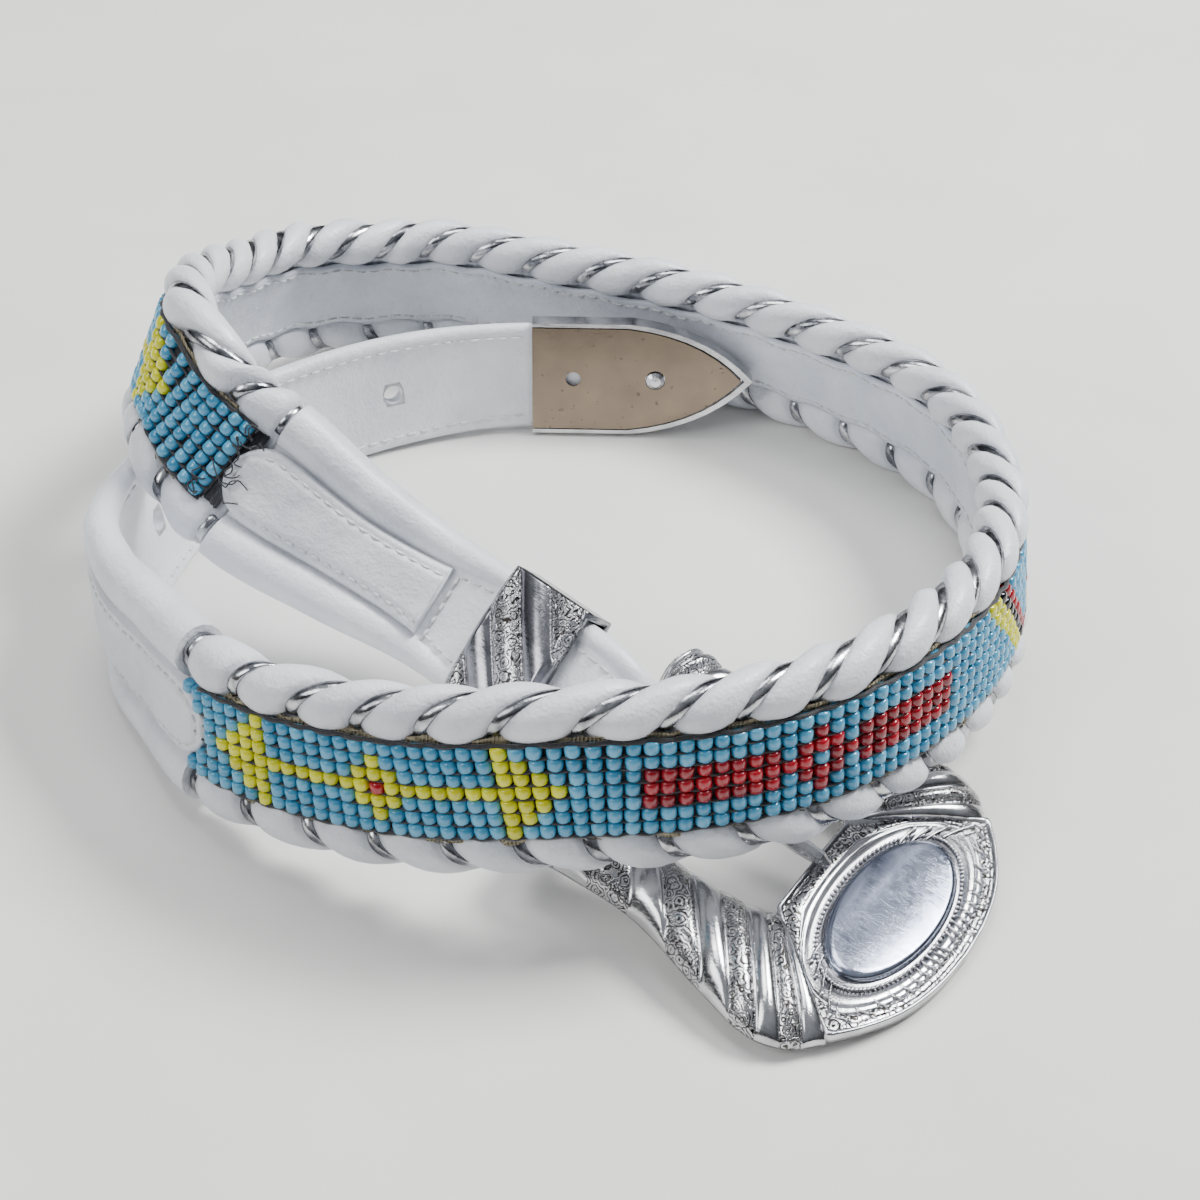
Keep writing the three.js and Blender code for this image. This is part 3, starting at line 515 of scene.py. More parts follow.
def spun_thread(name, base, light):
    """Waxed twisted thread: fine slanted strands with a dull sheen."""
    made, tree, shader = material(name, base, 0.62)
    place = own_place(tree)
    tree.links.new(mixed(tree, ranged(tree, noise(tree, place, 0.7, 3), 0.35, 0.7), base, light), shader.inputs["Base Color"])
    shader.inputs["Sheen Weight"].default_value = 0.3
    bumped(tree, shader, [(noise(tree, place, 0.4, 3), 0.12)])
    return made


def silver_lace(name):
    """Flat foil-faced lace: steel-grey metal with bright and dark streaks painted in patches as highlights and
    reflections, slightly creased.
    """
    made, tree, shader = material(name, "#a9abb0", 0.26, 1.0)
    place = own_place(tree)
    # Painted highlights and dark reflections: noise mixes bright and dark grey into the foil's colour
    streaks = ranged(tree, noise(tree, place, 4.5, 2), 0.4, 0.62)
    tree.links.new(mixed(tree, streaks, "#c6c7ca", "#6d6f75"), shader.inputs["Base Color"])
    tree.links.new(ranged(tree, noise(tree, place, 2, 3), 0.3, 0.7, 0.16, 0.32), shader.inputs["Roughness"])
    bumped(tree, shader, [(noise(tree, place, 3, 3), 0.16)])
    return made


def scratched(tree, place, way):
    """Hairline rubs along one direction, as polishing and wear leave them."""
    stretched = node(tree, "ShaderNodeVectorMath", {0: place}, operation="MULTIPLY")
    stretched.inputs[1].default_value = way
    return ranged(tree, noise(tree, stretched.outputs[0], 1.0, 4, 0.6), 0.4, 0.7)


def plated_silver(name, engraved, cad_node=False, base="#d0d0d2", shade="#a2a2a7", dark="#46423f", lump=0.05):
    """Cast and silver-plated alloy: bright highs with fine rubs. Engraved faces have scrolls darkened in the cuts."""
    made, tree, shader = material(name, base, 0.18, 1.0)
    place = own_place(tree, cad_node)
    rubs = scratched(tree, place, (0.5, 4.0, 2.0))
    layers = [(noise(tree, place, 9, 2), lump), (rubs, 0.012)]
    colour = mixed(tree, ranged(tree, noise(tree, place, 5, 4), 0.45, 0.75), base, shade)
    if engraved:
        bent = node(tree, "ShaderNodeVectorMath", {0: place, 1: warp(tree, place, 1.6, 1.3)}, operation="ADD")
        # Scrolls about 2.6 mm across, cut as rings 0.6 mm apart round each middle
        reach = cells(tree, bent.outputs[0], 2.6)
        waves = node(tree, "ShaderNodeMath", {0: reach}, operation="MULTIPLY")
        waves.inputs[1].default_value = math.tau * 2.6 / 0.6
        rings = node(tree, "ShaderNodeMath", {0: waves.outputs[0]}, operation="SINE").outputs[0]
        cut = ranged(tree, rings, -0.9, -0.2)
        stipple = ranged(tree, noise(tree, place, 0.5, 1), 0.34, 0.46)
        colour = mixed(tree, stipple, shade, colour)
        colour = mixed(tree, cut, dark, colour)
        layers += [(cut, 0.1), (stipple, 0.03)]
    tree.links.new(colour, shader.inputs["Base Color"])
    tree.links.new(ranged(tree, rubs, 0, 1, 0.13, 0.26), shader.inputs["Roughness"])
    bumped(tree, shader, layers)
    return made


def copper_plate(name):
    """Pressed sheet under thin worn plating: an even brown grey with a few dull specks."""
    made, tree, shader = material(name, "#94887a", 0.32, 1.0)
    place = own_place(tree, True)
    specks = ranged(tree, noise(tree, place, 1.6, 4, 0.6), 0.64, 0.76)
    clouds = mixed(tree, noise(tree, place, 9, 3), "#8b7d6c", "#6b6157")
    tree.links.new(mixed(tree, specks, clouds, "#5b5148"), shader.inputs["Base Color"])
    tree.links.new(ranged(tree, specks, 0, 1, 0.22, 0.45), shader.inputs["Roughness"])
    bumped(tree, shader, [(noise(tree, place, 8, 2), 0.06), (noise(tree, place, 0.6, 4), 0.015)])
    return made


def woven_backing(name, base, light):
    """Coarse cotton backing that frays beside the beads: twisted threads in a loose plain weave."""
    made, tree, shader = material(name, base, 0.85)
    place = own_place(tree)
    waves = [
        node(tree, "ShaderNodeTexWave", {"Vector": place}, bands_direction=way, Scale=0.45, Distortion=2.0).outputs[1]
        for way in ("X", "Y")
    ]
    weave = node(tree, "ShaderNodeMath", {0: waves[0], 1: waves[1]}, operation="MAXIMUM").outputs[0]
    tree.links.new(mixed(tree, weave, base, light), shader.inputs["Base Color"])
    bumped(tree, shader, [(weave, 0.3)])
    return made


def studio_paper(name, colour):
    """Seamless studio paper: pale, flat and very slightly mottled."""
    made, tree, shader = material(name, colour, 0.9)
    place = own_place(tree, True)
    tree.links.new(mixed(tree, noise(tree, place, 60, 3), colour, "#dcdad6"), shader.inputs["Base Color"])
    bumped(tree, shader, [(noise(tree, place, 2.5, 4), 0.04)])
    return made


def taper(stations):
    """1 along the band, falling to 0 at its two ends, as the lace's slant does."""
    from_end = np.minimum(stations - BAND_START, BAND_END - stations) - GAP
    return np.minimum(1, np.maximum(0, from_end) / (2 * PITCH))


def roll_outline(width, roll, pinch, points_each, web=LEATHER / 2):
    """Across and outward distances round two padded rolls and the web between them, with each point's turn."""
    turn = np.linspace(0, 1, points_each)
    radius = roll[:, None] - pinch
    half = (width / 2 - roll)[:, None]
    web_half = np.minimum(web, roll * 0.9)[:, None]
    start = math.pi - np.arcsin(web_half / roll[:, None])
    angle = start * (1 - 2 * turn[None, :])
    across = half + radius * np.cos(angle)
    outward = radius * np.sin(angle)
    both_across = np.concatenate([across, -across[:, ::-1]], 1)
    both_outward = np.concatenate([outward, outward[:, ::-1]], 1)
    return both_across, both_outward, np.concatenate([turn, turn[::-1]])


def wound(turn):
    """How far along its slant the lace has come: steep beside the strip, then lying over the roll."""
    return turn - 0.13 * np.sin(math.tau * turn)


def scallop_pinch(stations, turn):
    """How far the lace pulls the roll in, with little puckers beside it, and how near each place is to a lace."""
    phase = (stations - FIRST_LACE) / LACE_STEP
    phase = phase - np.floor(phase)
    nearest = np.minimum(phase, 1 - phase) * LACE_STEP
    from_lace = np.clip((nearest - LACE_FLOOR) / (LACE_STEP / 2 - LACE_FLOOR), 0, 1)
    puff = np.sin(math.pi / 2 * from_lace) ** 0.6
    beside = np.exp(-(((nearest - LACE_FLOOR) / 2.6) ** 2)) * (nearest > LACE_FLOOR)
    pucker = beside[:, None] * np.sin(turn[None, :] * 46 + np.floor(stations / LACE_STEP)[:, None] * 2.1)
    uneven = ripples(stations[:, None], turn[None, :] * 27, 11, 11)
    pinch = (LACE_BITE * (1 - puff) - PUFF_SWELL * puff)[:, None] - pucker * 0.12 - uneven * 0.12
    return pinch, np.exp(-(((nearest - LACE_FLOOR) / 1.1) ** 2))


BEAD_KEYS = {".": 0, "Y": 1, "R": 2, "K": 3}
# Traditional arrow and bar figures, given as charts: one word for each column of the loom, top row first
ARROW_CHART = (
    "...Y... ..YYY.. .YYYYY. YYYYYYY ...Y... ...Y... ...Y... ...Y... ...Y... ...Y... ..YYY.. .YYRYY. "
    "..YYY.. ...Y... ...Y... ...Y... ...Y... ...Y... ...Y... YYYYYYY .YYYYY. ..YYY.. ...Y..."
)
BAR_CHART = (
    "..RRR.. ..RRR.. ..RRR.. ..RRR.. ..RRR.. ..RRR.. ..RRR.. ..RRR.. ...R... ..RRR.. .RR.RR. "
    "..RRR.. ...R... ..RRR.. ..RRR.. ..RRR.. ..RRR.. ..RRR.. ..RRR.. ..RRR.. ..RRR.."
)
SLANT_CHART = (
    "Y...... YY..... KYY.... RKYY... .RKYY.. ..RKYY. ...RKYY ....RKY .....RK ......R ......R .....RK "
    "....RKY ...RKYY ..RKYY. .RKYY.. RKYY... KYY.... YY..... Y......"
)
BEAD_ROWS, BEAD_ROW_PITCH, BEAD_PITCH = 7, 2.76, 3.02
BEAD_RADIUS, BEAD_HALF, BEAD_MIDDLE = 1.5, 1.2, 3.6
# How far the beads reach beside the first overlay's rounded end
BEAD_START_EARLY = 5.2


def bead_chart(columns):
    """The whole strip's columns: figures mirrored about its middle, with plain beads between them."""
    plain = "......."
    half = []
    for before, chart in ((3, ARROW_CHART), (4, BAR_CHART), (5, SLANT_CHART)):
        half += [plain] * before + chart.split()
    other = [plain] * 6 + half[3:]
    spare = columns - len(half) - len(other)
    if spare < 0:
        raise ValueError("the bead charts are longer than the strip")
    return half + [plain] * spare + other[::-1]


class BeltSettings(bpy.types.PropertyGroup):
    """Sizes and colours that a belt maker would change."""

    bead_colour: bpy.props.StringProperty(name="Bead ground", description="Colour of the plain beads", default="#5eadd0")
    bead_deep: bpy.props.StringProperty(name="Bead ground, deep", description="Darkest plain bead", default="#3a8cb3")
    leather_colour: bpy.props.StringProperty(name="Leather", description="Colour of the calf leather", default="#e6e8ed")
    floor_colour: bpy.props.StringProperty(name="Floor", description="Colour of the studio paper", default="#f0efec")
    lace_width: bpy.props.FloatProperty(
        name="Lace width", description="Width of the flat silver lace", default=2.5 * MM, min=0.001, max=0.004, unit="LENGTH"
    )
    stitch_length: bpy.props.FloatProperty(
        name="Stitch length", description="Length of one stitch", default=2.3 * MM, min=0.001, max=0.006, unit="LENGTH"
    )
    stitch_pitch: bpy.props.FloatProperty(
        name="Stitch pitch", description="From one stitch to the next", default=3.2 * MM, min=0.0015, max=0.008, unit="LENGTH"
    )


def finishes(settings):
    """The materials that several pieces share, made once."""
    found = bpy.data.materials.get
    return {
        "leather": found("pearl_calf_leather")
        or calf_leather("pearl_calf_leather", settings.leather_colour, "#d6dae2", "#a9adb6"),
        "lining": found("smooth_lining_leather")
        or calf_leather("smooth_lining_leather", "#dfe3eb", "#ccd2dd", "#b0b4bd"),
        "overlay": found("crumpled_overlay_leather")
        or calf_leather("crumpled_overlay_leather", "#e2e4e9", "#d0d4da", "#b2b3b6"),
        "thread": found("white_waxed_thread") or spun_thread("white_waxed_thread", "#c9cbce", "#f0f0ee"),
        "dark_thread": found("black_bead_thread") or spun_thread("black_bead_thread", "#0d0e12", "#2c2e36"),
        "polished": found("polished_silver_plate") or plated_silver("polished_silver_plate", False),
        "engraved": found("scroll_engraved_silver") or plated_silver("scroll_engraved_silver", True),
        # A darker silver: its darker base and shade are painted dark reflections of polished metal
        "dark_reflection_silver": found("antiqued_silver_plate")
        or plated_silver("antiqued_silver_plate", False, base="#9b9ba0", shade="#6b6b70"),
        "antiqued_cut": found("antiqued_engraved_silver")
        or plated_silver("antiqued_engraved_silver", True, base="#d2d2d4", shade="#8f8e90", dark="#2e2b29"),
        # The oval's blue grey is a painted reflection of its surroundings on the mirror-polished silver
        "oval": found("rubbed_oval_plate") or plated_silver("rubbed_oval_plate", False, base="#a9b0c2", shade="#8c93a8", lump=0.0),
    }


class BELT_OT_band(bpy.types.Operator):
    """Laced leather band: two stuffed rolls pulled into scallops, and the web between them"""

    bl_idname = "belt.band"
    bl_label = "Band leather"

    def execute(self, context):
        finish = finishes(context.scene.belt_maker)
        stations = np.linspace(BAND_START + GAP, BAND_END - GAP, SCALLOPS * 14 + 1)
        here = COIL.at(stations)
        turn = np.linspace(0, 1, 26)
        pinch, beside_lace = scallop_pinch(stations, turn)
        # The web's edge stays flat, so the pinch fades in from it
        pinch = pinch * np.clip(np.minimum(turn, 1 - turn) * 12, 0, 1)[None, :]
        across, outward, both_turn = roll_outline(here["width"], here["roll"], pinch, 26)
        shift = LACE_SLANT * PITCH * taper(stations)[:, None] * wound(both_turn)[None, :]
        points, faces, local = swept(stations, across, outward, shift)
        # Painted shade, with some grime, in the valleys beside each lace
        tone_and_lace_shade = np.repeat(0.75 * beside_lace, across.shape[1])
        band = build("band_leather", points, faces, [finish["leather"]], "belt", local, tone_and_lace_shade, replaces=["laced_band"])
        return {"FINISHED"}


class BELT_OT_lacing(bpy.types.Operator):
    """Flat silver lace wound round both rolls, one turn in each valley"""

    bl_idname = "belt.lacing"
    bl_label = "Silver lacing"

    def execute(self, context):
        width = context.scene.belt_maker.lace_width / MM
        parts = []
        for k in range(SCALLOPS + 1):
            base = FIRST_LACE + k * LACE_STEP
            for side, first in ((1, 0.07), (-1, 0.015)):
                turn = np.linspace(first, 0.985, 26)
                stations = base + LACE_SLANT * PITCH * taper(np.array([base])) * wound(turn)
                stations = np.clip(stations, BAND_START + 1.2, BAND_END - 1.2)
                here = COIL.at(np.full(len(turn), base))
                radius = here["roll"] - LACE_BITE + 0.15
                half = here["width"] / 2 - here["roll"]
                start = math.pi - np.arcsin(LEATHER / 2 / radius)
                angle = start * (1 - 2 * turn)
                line = COIL.place(stations, side * (half + radius * np.cos(angle)), radius * np.sin(angle))
                middle = COIL.place(stations, side * half, np.zeros(len(turn)))
                parts.append(ribbon(line, unit(line - middle), width / 2, 0.5))
        points, faces = joined(parts)
        lace = bpy.data.materials.get("foil_faced_lace") or silver_lace("foil_faced_lace")
        build("silver_lacing", points, faces, [lace], "belt")
        return {"FINISHED"}


class BELT_OT_beads(bpy.types.Operator):
    """Loomed seed beads on dark threads, with the figures given as charts"""

    bl_idname = "belt.beads"
    bl_label = "Bead strip"

    def execute(self, context):
        settings = context.scene.belt_maker
        finish = finishes(settings)
        first = BAND_START + TAB_OVER_BAND + GAP
        last = BAND_END - TAB_OVER_BAND - GAP
        bead_first = first - BEAD_START_EARLY
        columns = int((last - bead_first) / BEAD_PITCH)
        chart = bead_chart(columns)
        chance = np.random.default_rng(7)
        along = bead_first + (np.arange(columns) + 0.5) * (last - bead_first) / columns
        column, row = np.meshgrid(np.arange(columns), np.arange(BEAD_ROWS), indexing="ij")
        column, row = column.ravel(), row.ravel()
        # The first columns only show beside the overlay's rounded end
        under = np.maximum(0, BAND_START + TAB_OVER_BAND + 1 - along[column])
        covered = np.sqrt(np.maximum(0, (TAB_WIDTH / 2) ** 2 - np.maximum(0, TAB_WIDTH / 2 - under) ** 2))
        shows = np.abs(BEAD_ROWS // 2 - row) * BEAD_ROW_PITCH + 0.5 >= covered
        column, row = column[shows], row[shows]
        count = len(column)
        stations = along[column] + chance.normal(0, 0.09, count)
        across = (BEAD_ROWS // 2 - row) * BEAD_ROW_PITCH + chance.normal(0, 0.07, count)
        outward = np.full(count, BEAD_MIDDLE) + chance.normal(0, 0.06, count)
        here = COIL.at(stations)
        tilt = chance.normal(0, 0.07, count)[:, None]
        axis = unit(here["across"] + here["tangent"] * tilt)
        face = here["outward"]
        side = unit(np.cross(axis, face))
        size = (1 + chance.normal(0, 0.025, count))[:, None]
        axes = np.stack([side * size, axis * size, face * size], 1)
        shape = ((0.35, 1), (0.8, 0.97), (0.97, 0.68), (1, 0))
        profile = [(BEAD_RADIUS * r, -BEAD_HALF * h) for r, h in shape]
        profile += [(BEAD_RADIUS * r, BEAD_HALF * h) for r, h in shape[-2::-1]]
        bead, bead_faces = lathed(profile, 10)
        points, faces = repeated(bead, bead_faces, COIL.place(stations, across, outward), axes)
        kinds = np.array([BEAD_KEYS[chart[c][r]] for c, r in zip(column, row)])
        tone_and_lace_shade = np.repeat(chance.uniform(0, 1, count), len(bead))
        materials = [
            glass_beads("turquoise_glass_beads", settings.bead_colour, settings.bead_deep),
            glass_beads("yellow_glass_beads", "#e4e414", "#c8c70e"),
            glass_beads("red_glass_beads", "#ae1427", "#7f0e1d"),
            glass_beads("black_glass_beads", "#15161c", "#0a0a0e"),
        ]
        build("seed_beads", points, faces, materials, "belt", tone_and_lace_shade=tone_and_lace_shade, slots=np.repeat(kinds, len(bead_faces)))

        # Dark cloth under the beads, and a long thread in each valley between the rows
        steps = np.linspace(first, last, 420)
        outline = np.array([(8.1, STRIP_FOOT), (9.5, 2.6), (9.3, 3.1), (-9.3, 3.1), (-9.5, 2.6), (-8.1, STRIP_FOOT)])
        rows = np.repeat(outline[None], len(steps), 0)
        points, faces, local = swept(steps, rows[:, :, 0], rows[:, :, 1])
        build("bead_cloth", points, faces, [finish["dark_thread"]], "belt", local, replaces=["bead_strip"])
        parts = []
        for k in range(BEAD_ROWS + 1):
            edge = (BEAD_ROWS / 2 - k) * BEAD_ROW_PITCH
            height = 4.0 + 0.25 * np.sin(steps / (last - first) * columns * math.pi + k * math.pi)
            line = COIL.place(steps, edge + 0.08 * np.sin(steps * 1.3 + k), height)
            parts.append(cord_body(line, 0.48 if k in (0, BEAD_ROWS) else 0.3))
        points, faces = joined(parts)
        build("bead_threads", points, faces, [finish["dark_thread"]], "belt")
        return {"FINISHED"}


class BELT_OT_backing(bpy.types.Operator):
    """Frayed cotton backing that shows beside the beads"""

    bl_idname = "belt.backing"
    bl_label = "Frayed backing"

    def execute(self, context):
        chance = np.random.default_rng(23)
        first, last = BAND_START + TAB_OVER_BAND + GAP, BAND_END - TAB_OVER_BAND - GAP
        steps = np.linspace(first, last, 700)
        parts = []
        for side in (1, -1):
            reach = 10.9 + 0.35 * ripples(steps, 0 * steps, 17, 31 + side) + 0.25 * ripples(steps, 0 * steps, 2.4, 41 + side)
            across = np.stack([side * 9.2 + 0 * steps, side * reach, side * reach, side * 9.2 + 0 * steps], 1)
            lift = 3.4 + 0.5 * ripples(steps, 0 * steps, 6, 51 + side)
            outward = np.stack([2.3 + 0 * steps, lift - 0.3, lift, 2.9 + 0 * steps], 1)
            points, faces, _ = swept(steps, across, outward)
            parts.append((points, faces))
            for start in chance.uniform(first, last - 4, 150):
                length = chance.uniform(1.5, 4.0)
                along = start + np.linspace(0, length, 5)
                rise = np.linspace(0, 1, 5) ** 2
                out = 10.6 + rise * chance.uniform(0.1, 0.9)
                high = 3.3 + rise * chance.uniform(0, 0.9)
                parts.append(cord_body(COIL.place(along, side * out, high), 0.11, 4))
        points, faces = joined(parts)
        cloth = woven_backing("frayed_cotton_backing", "#6a6450", "#a79d84")
        build("frayed_backing", points, faces, [cloth], "belt")
        return {"FINISHED"}


class BELT_OT_lining(bpy.types.Operator):
    """Smooth lining with a wavy edge, sewn down along both sides"""

    bl_idname = "belt.lining"
    bl_label = "Lining"

    def execute(self, context):
        settings = context.scene.belt_maker
        finish = finishes(settings)
        stations = np.linspace(BAND_START + 2 * GAP, BAND_END - 2 * GAP, 560)
        low, high = -(LEATHER / 2 + GAP), -(LEATHER / 2 + GAP + LINING_THICKNESS)
        wave = lambda side: LINING_WIDTH / 2 + 0.4 * np.sin(math.tau * stations / PITCH + side) - 0.2
        upper, lower = wave(1), wave(-1)
        inset = 0.7
        foot = np.full(len(stations), 8.0)
        bulge = 0.18 * ripples(stations, 0 * stations, 24, 61)
        columns = [(foot, low), (upper, (low + high) / 2), (upper - inset, high)]
        columns += [(upper * share, high + 0.25) for share in (0.8, 0.55)] + [(0 * stations, high + 0.25)]
        columns += [(-lower * share, high + 0.25) for share in (0.55, 0.8)]
        columns += [(-lower + inset, high), (-lower, (low + high) / 2), (-foot, low)]
        across = np.stack([np.broadcast_to(a, len(stations)) for a, _ in columns], 1)
        flat = np.stack([np.broadcast_to(b, len(stations)) for _, b in columns], 1)
        outward = np.minimum(flat + bulge[:, None] * (np.abs(across) < 6), low)
        points, faces, local = swept(stations, across, outward)
        build("lining_leather", points, faces, [finish["lining"]], "belt", local, replaces=["lining_panel"])
        parts = []
        for side, edge in ((1, upper), (-1, lower)):
            line, off = belt_line(stations, side * (edge - 1.7), high + 0.12, -1)
            parts.append(stitches(line, off, settings.stitch_length / MM, settings.stitch_pitch / MM, 0.26))
        points, faces = joined(parts)
        build("lining_stitches", points, faces, [finish["thread"]], "belt")
        return {"FINISHED"}


def strap_outline(width, roll, points_each):
    """A strap's section: rounded, slightly raised edges and a flat middle."""
    pinch = np.zeros((len(width), points_each))
    across, outward, _ = roll_outline(width, roll, pinch, points_each)
    share = np.linspace(0, 1, 12)[None, 1:-1]
    columns_across, columns_outward = [], []
    for start, end, side in ((points_each - 1, points_each, slice(0, points_each)), (-1, 0, slice(points_each, None))):
        columns_across += [across[:, side], across[:, start, None] * (1 - share) + across[:, end, None] * share]
        columns_outward += [outward[:, side], outward[:, start, None] * (1 - share) + outward[:, end, None] * share]
    return np.concatenate(columns_across, 1), np.concatenate(columns_outward, 1)


def cut(piece, cutters, operation="DIFFERENCE"):
    """Cuts or joins plain bodies into a piece and keeps the result as its mesh."""
    for number, (points, faces) in enumerate(cutters):
        mesh = bpy.data.meshes.new("cutter")
        mesh.from_pydata((np.asarray(points) * MM).tolist(), [], faces)
        other = bpy.data.objects.new(f"cutter_{number}", mesh)
        bpy.context.scene.collection.objects.link(other)
        change = piece.modifiers.new("cut", "BOOLEAN")
        change.operation = operation
        change.solver = "MANIFOLD"
        change.object = other
        bpy.context.view_layer.update()
        result = bpy.data.meshes.new_from_object(piece.evaluated_get(bpy.context.evaluated_depsgraph_get()))
        piece.modifiers.remove(change)
        if not len(result.polygons):
            raise RuntimeError(f"{piece.name}: the cut left nothing")
        result.set_sharp_from_angle(angle=math.radians(40))
        piece.data = result
        bpy.data.objects.remove(other)


def rod(matrix, radius, length, sides=32):
    """A plain cylinder along y, through a matrix."""
    points, faces = lathed([(radius, -length / 2), (radius, length / 2)], sides)
    points = moved(matrix, points)
    return points, outward_faces(points, faces)


class BELT_OT_billet(bpy.types.Operator):
    """Billet leather with its holes, and the stitches along its edges"""

    bl_idname = "belt.billet"
    bl_label = "Billet"

    def execute(self, context):
        settings = context.scene.belt_maker
        finish = finishes(settings)
        stations = np.linspace(TIP_BASE - TIP_POCKET + GAP, BAND_START - GAP, 260)
        here = COIL.at(stations)
        across, outward = strap_outline(here["width"], here["roll"], 16)
        dent = 0.12 * ripples(stations[:, None], across, 16, 71) * (np.abs(across) < (here["width"] / 2 - 4)[:, None])
        points, faces, local = swept(stations, across, outward * (1 + dent * 0.3))
        piece = build("billet_leather", points, faces, [finish["leather"]], "belt", local, replaces=["billet_strap"])
        bores = []
        for k in range(HOLE_COUNT):
            at = COIL.at(TIP_BASE + FIRST_HOLE + k * HOLE_SPACING)
            turned = Matrix([[at[name][i] for name in ("tangent", "outward", "across")] for i in range(3)]).to_4x4()
            bores.append(rod(Matrix.Translation(Vector(at["origin"])) @ turned, HOLE_DIAMETER / 2, 4 * LEATHER, 28))
        cut(piece, bores)
        steps = np.linspace(TIP_BASE + 1.5, BAND_START - 2, 300)
        at = COIL.at(steps)
        parts = []
        for side in (1, -1):
            for face in (1, -1):
                inset = 3 + (2 * at["roll"] - 2) * np.clip((at["roll"] - 2.1) / 1.4, 0, 1)
                on_roll = np.sqrt(np.maximum(0, at["roll"] ** 2 - (inset - at["roll"]) ** 2))
                high = np.maximum(np.minimum(LEATHER / 2, at["roll"] * 0.9), on_roll)
                line, off = belt_line(steps, side * (at["width"] / 2 - inset), face * (high + 0.05), face)
                parts.append(stitches(line, off, settings.stitch_length / MM, settings.stitch_pitch / MM, 0.28))
        points, faces = joined(parts)
        build("billet_stitches", points, faces, [finish["thread"]], "belt")
        return {"FINISHED"}


class BELT_OT_buckle_strap(bpy.types.Operator):
    """Padded buckle strap, its fold round the bar and its seams"""

    bl_idname = "belt.buckle_strap"
    bl_label = "Buckle strap"

    def execute(self, context):
        settings = context.scene.belt_maker
        finish = finishes(settings)
        stations = np.linspace(BAND_END + GAP, COIL.length, 200)
        here = COIL.at(stations)
        across, outward = strap_outline(here["width"], here["roll"], 18)
        points, faces, local = swept(stations, across, outward)
        piece = build("buckle_leather", points, faces, [finish["leather"]], "belt", local, replaces=["buckle_strap"])
        width = COIL.at(COIL.length)["width"]
        fold = BAR_RADIUS + GAP + LEATHER
        cut(piece, [rod(BAR_FRAME, fold, width)], "UNION")
        slot = np.array([(x, y, z) for x in (0, 3 * fold) for y in (-1, 1) for z in (-2 * fold, 2 * fold)], float)
        slot[:, 1] *= PRONG_EYE_WIDTH / 2 + GAP
        slot = moved(BAR_FRAME, slot)
        sides = [[0, 1, 3, 2], [4, 6, 7, 5], [0, 4, 5, 1], [2, 3, 7, 6], [0, 2, 6, 4], [1, 5, 7, 3]]
        cut(piece, [rod(BAR_FRAME, BAR_RADIUS + GAP, 2 * width), (slot, outward_faces(slot, sides))])
        parts = []
        seam = COIL.stations["cross seam"]
        steps = np.linspace(BAND_END + 2, COIL.length - 9, 220)
        at = COIL.at(steps)
        for side in (1, -1):
            edge = at["width"] / 2 - 2 * at["roll"] - 0.9
            line, off = belt_line(steps, side * np.maximum(edge, 4), np.minimum(LEATHER / 2, at["roll"] * 0.9) + 0.05)
            away = steps > seam
            parts.append(stitches(line[away], off[away], settings.stitch_length / MM, settings.stitch_pitch / MM, 0.28))
        for place in (seam + 1.5, COIL.stations["keeper front"] + 7):
            line_across = np.linspace(-0.62, 0.62, 30) * COIL.at(place)["width"] / 2
            high = min(LEATHER / 2, COIL.at(place)["roll"] * 0.9) + 0.1
            line, off = belt_line(np.full(30, place), line_across, high)
            parts.append(stitches(line, off, 2.6, 3.0, 0.4))
        points, faces = joined(parts)
        build("buckle_stitches", points, faces, [finish["thread"]], "belt")
        return {"FINISHED"}


def overlay(name, node_name, round_end, plain_end, finish, seed):
    """An overlay tab with one rounded end, a sewn raised rim and soft creases."""
    reach = abs(plain_end - round_end)
    direction = 1 if plain_end > round_end else -1
    distance = np.concatenate([np.linspace(0, 8.4, 26), np.linspace(8.9, reach, 90)])
    stations = round_end + direction * distance
    here = COIL.at(stations)
    low = LEATHER / 2 + GAP
    radius = TAB_WIDTH / 2
    side_room = here["width"] / 2 - here["roll"] - np.sqrt(np.maximum(0, here["roll"] ** 2 - low**2)) - GAP
    rounded = np.sqrt(radius**2 - np.maximum(0, radius - distance) ** 2)
    half = np.minimum(np.maximum(rounded, radius * 0.12), side_room)
    shares = np.linspace(1, -1, 29)
    across = half[:, None] * shares[None, :]
    edge_in = np.minimum(half[:, None] * (1 - np.abs(shares))[None, :], distance[:, None])
    rim = np.clip(edge_in / 0.5, 0, 1) * (1 - 0.4 * np.exp(-(((edge_in - 2.1) / 0.45) ** 2)))
    creases = ripples(stations[:, None], across, 7, seed) * 0.09 + ripples(stations[:, None], across, 2.8, seed + 1) * 0.03
    crown = OVERLAY_CROWN * np.sin(math.pi / 2 * np.clip(edge_in / 3.5, 0, 1))
    top = low + 0.35 + (TAB_THICKNESS - 0.45) * rim * (1 + creases) + crown
    under = np.full((len(stations), 2), low)
    across = np.concatenate([across, np.stack([-half * 0.98, half * 0.98], 1)], 1)
    outward = np.concatenate([top, under], 1)
    points, faces, local = swept(stations, across, outward)
    build(name, points, faces, [finish["overlay"]], "belt", local, replaces=[node_name])
    keep = distance > 2.0
    inset = np.sqrt(np.maximum(0, (radius - 2.1) ** 2 - np.maximum(0, radius - distance) ** 2))
    line_half = np.minimum(inset, half - 2.1)[keep]
    along = stations[keep]
    path_stations = np.concatenate([along[::-1], along])
    path_across = np.concatenate([line_half[::-1], -line_half])
    crown_there = OVERLAY_CROWN * math.sin(math.pi / 2 * 2.1 / 3.5)
    line, off = belt_line(path_stations, path_across, low + TAB_THICKNESS * 0.72 + crown_there)
    points, faces = stitches(line, off, 2.0, 2.9, 0.27)
    build(name + "_stitches", points, faces, [finish["thread"]], "belt")


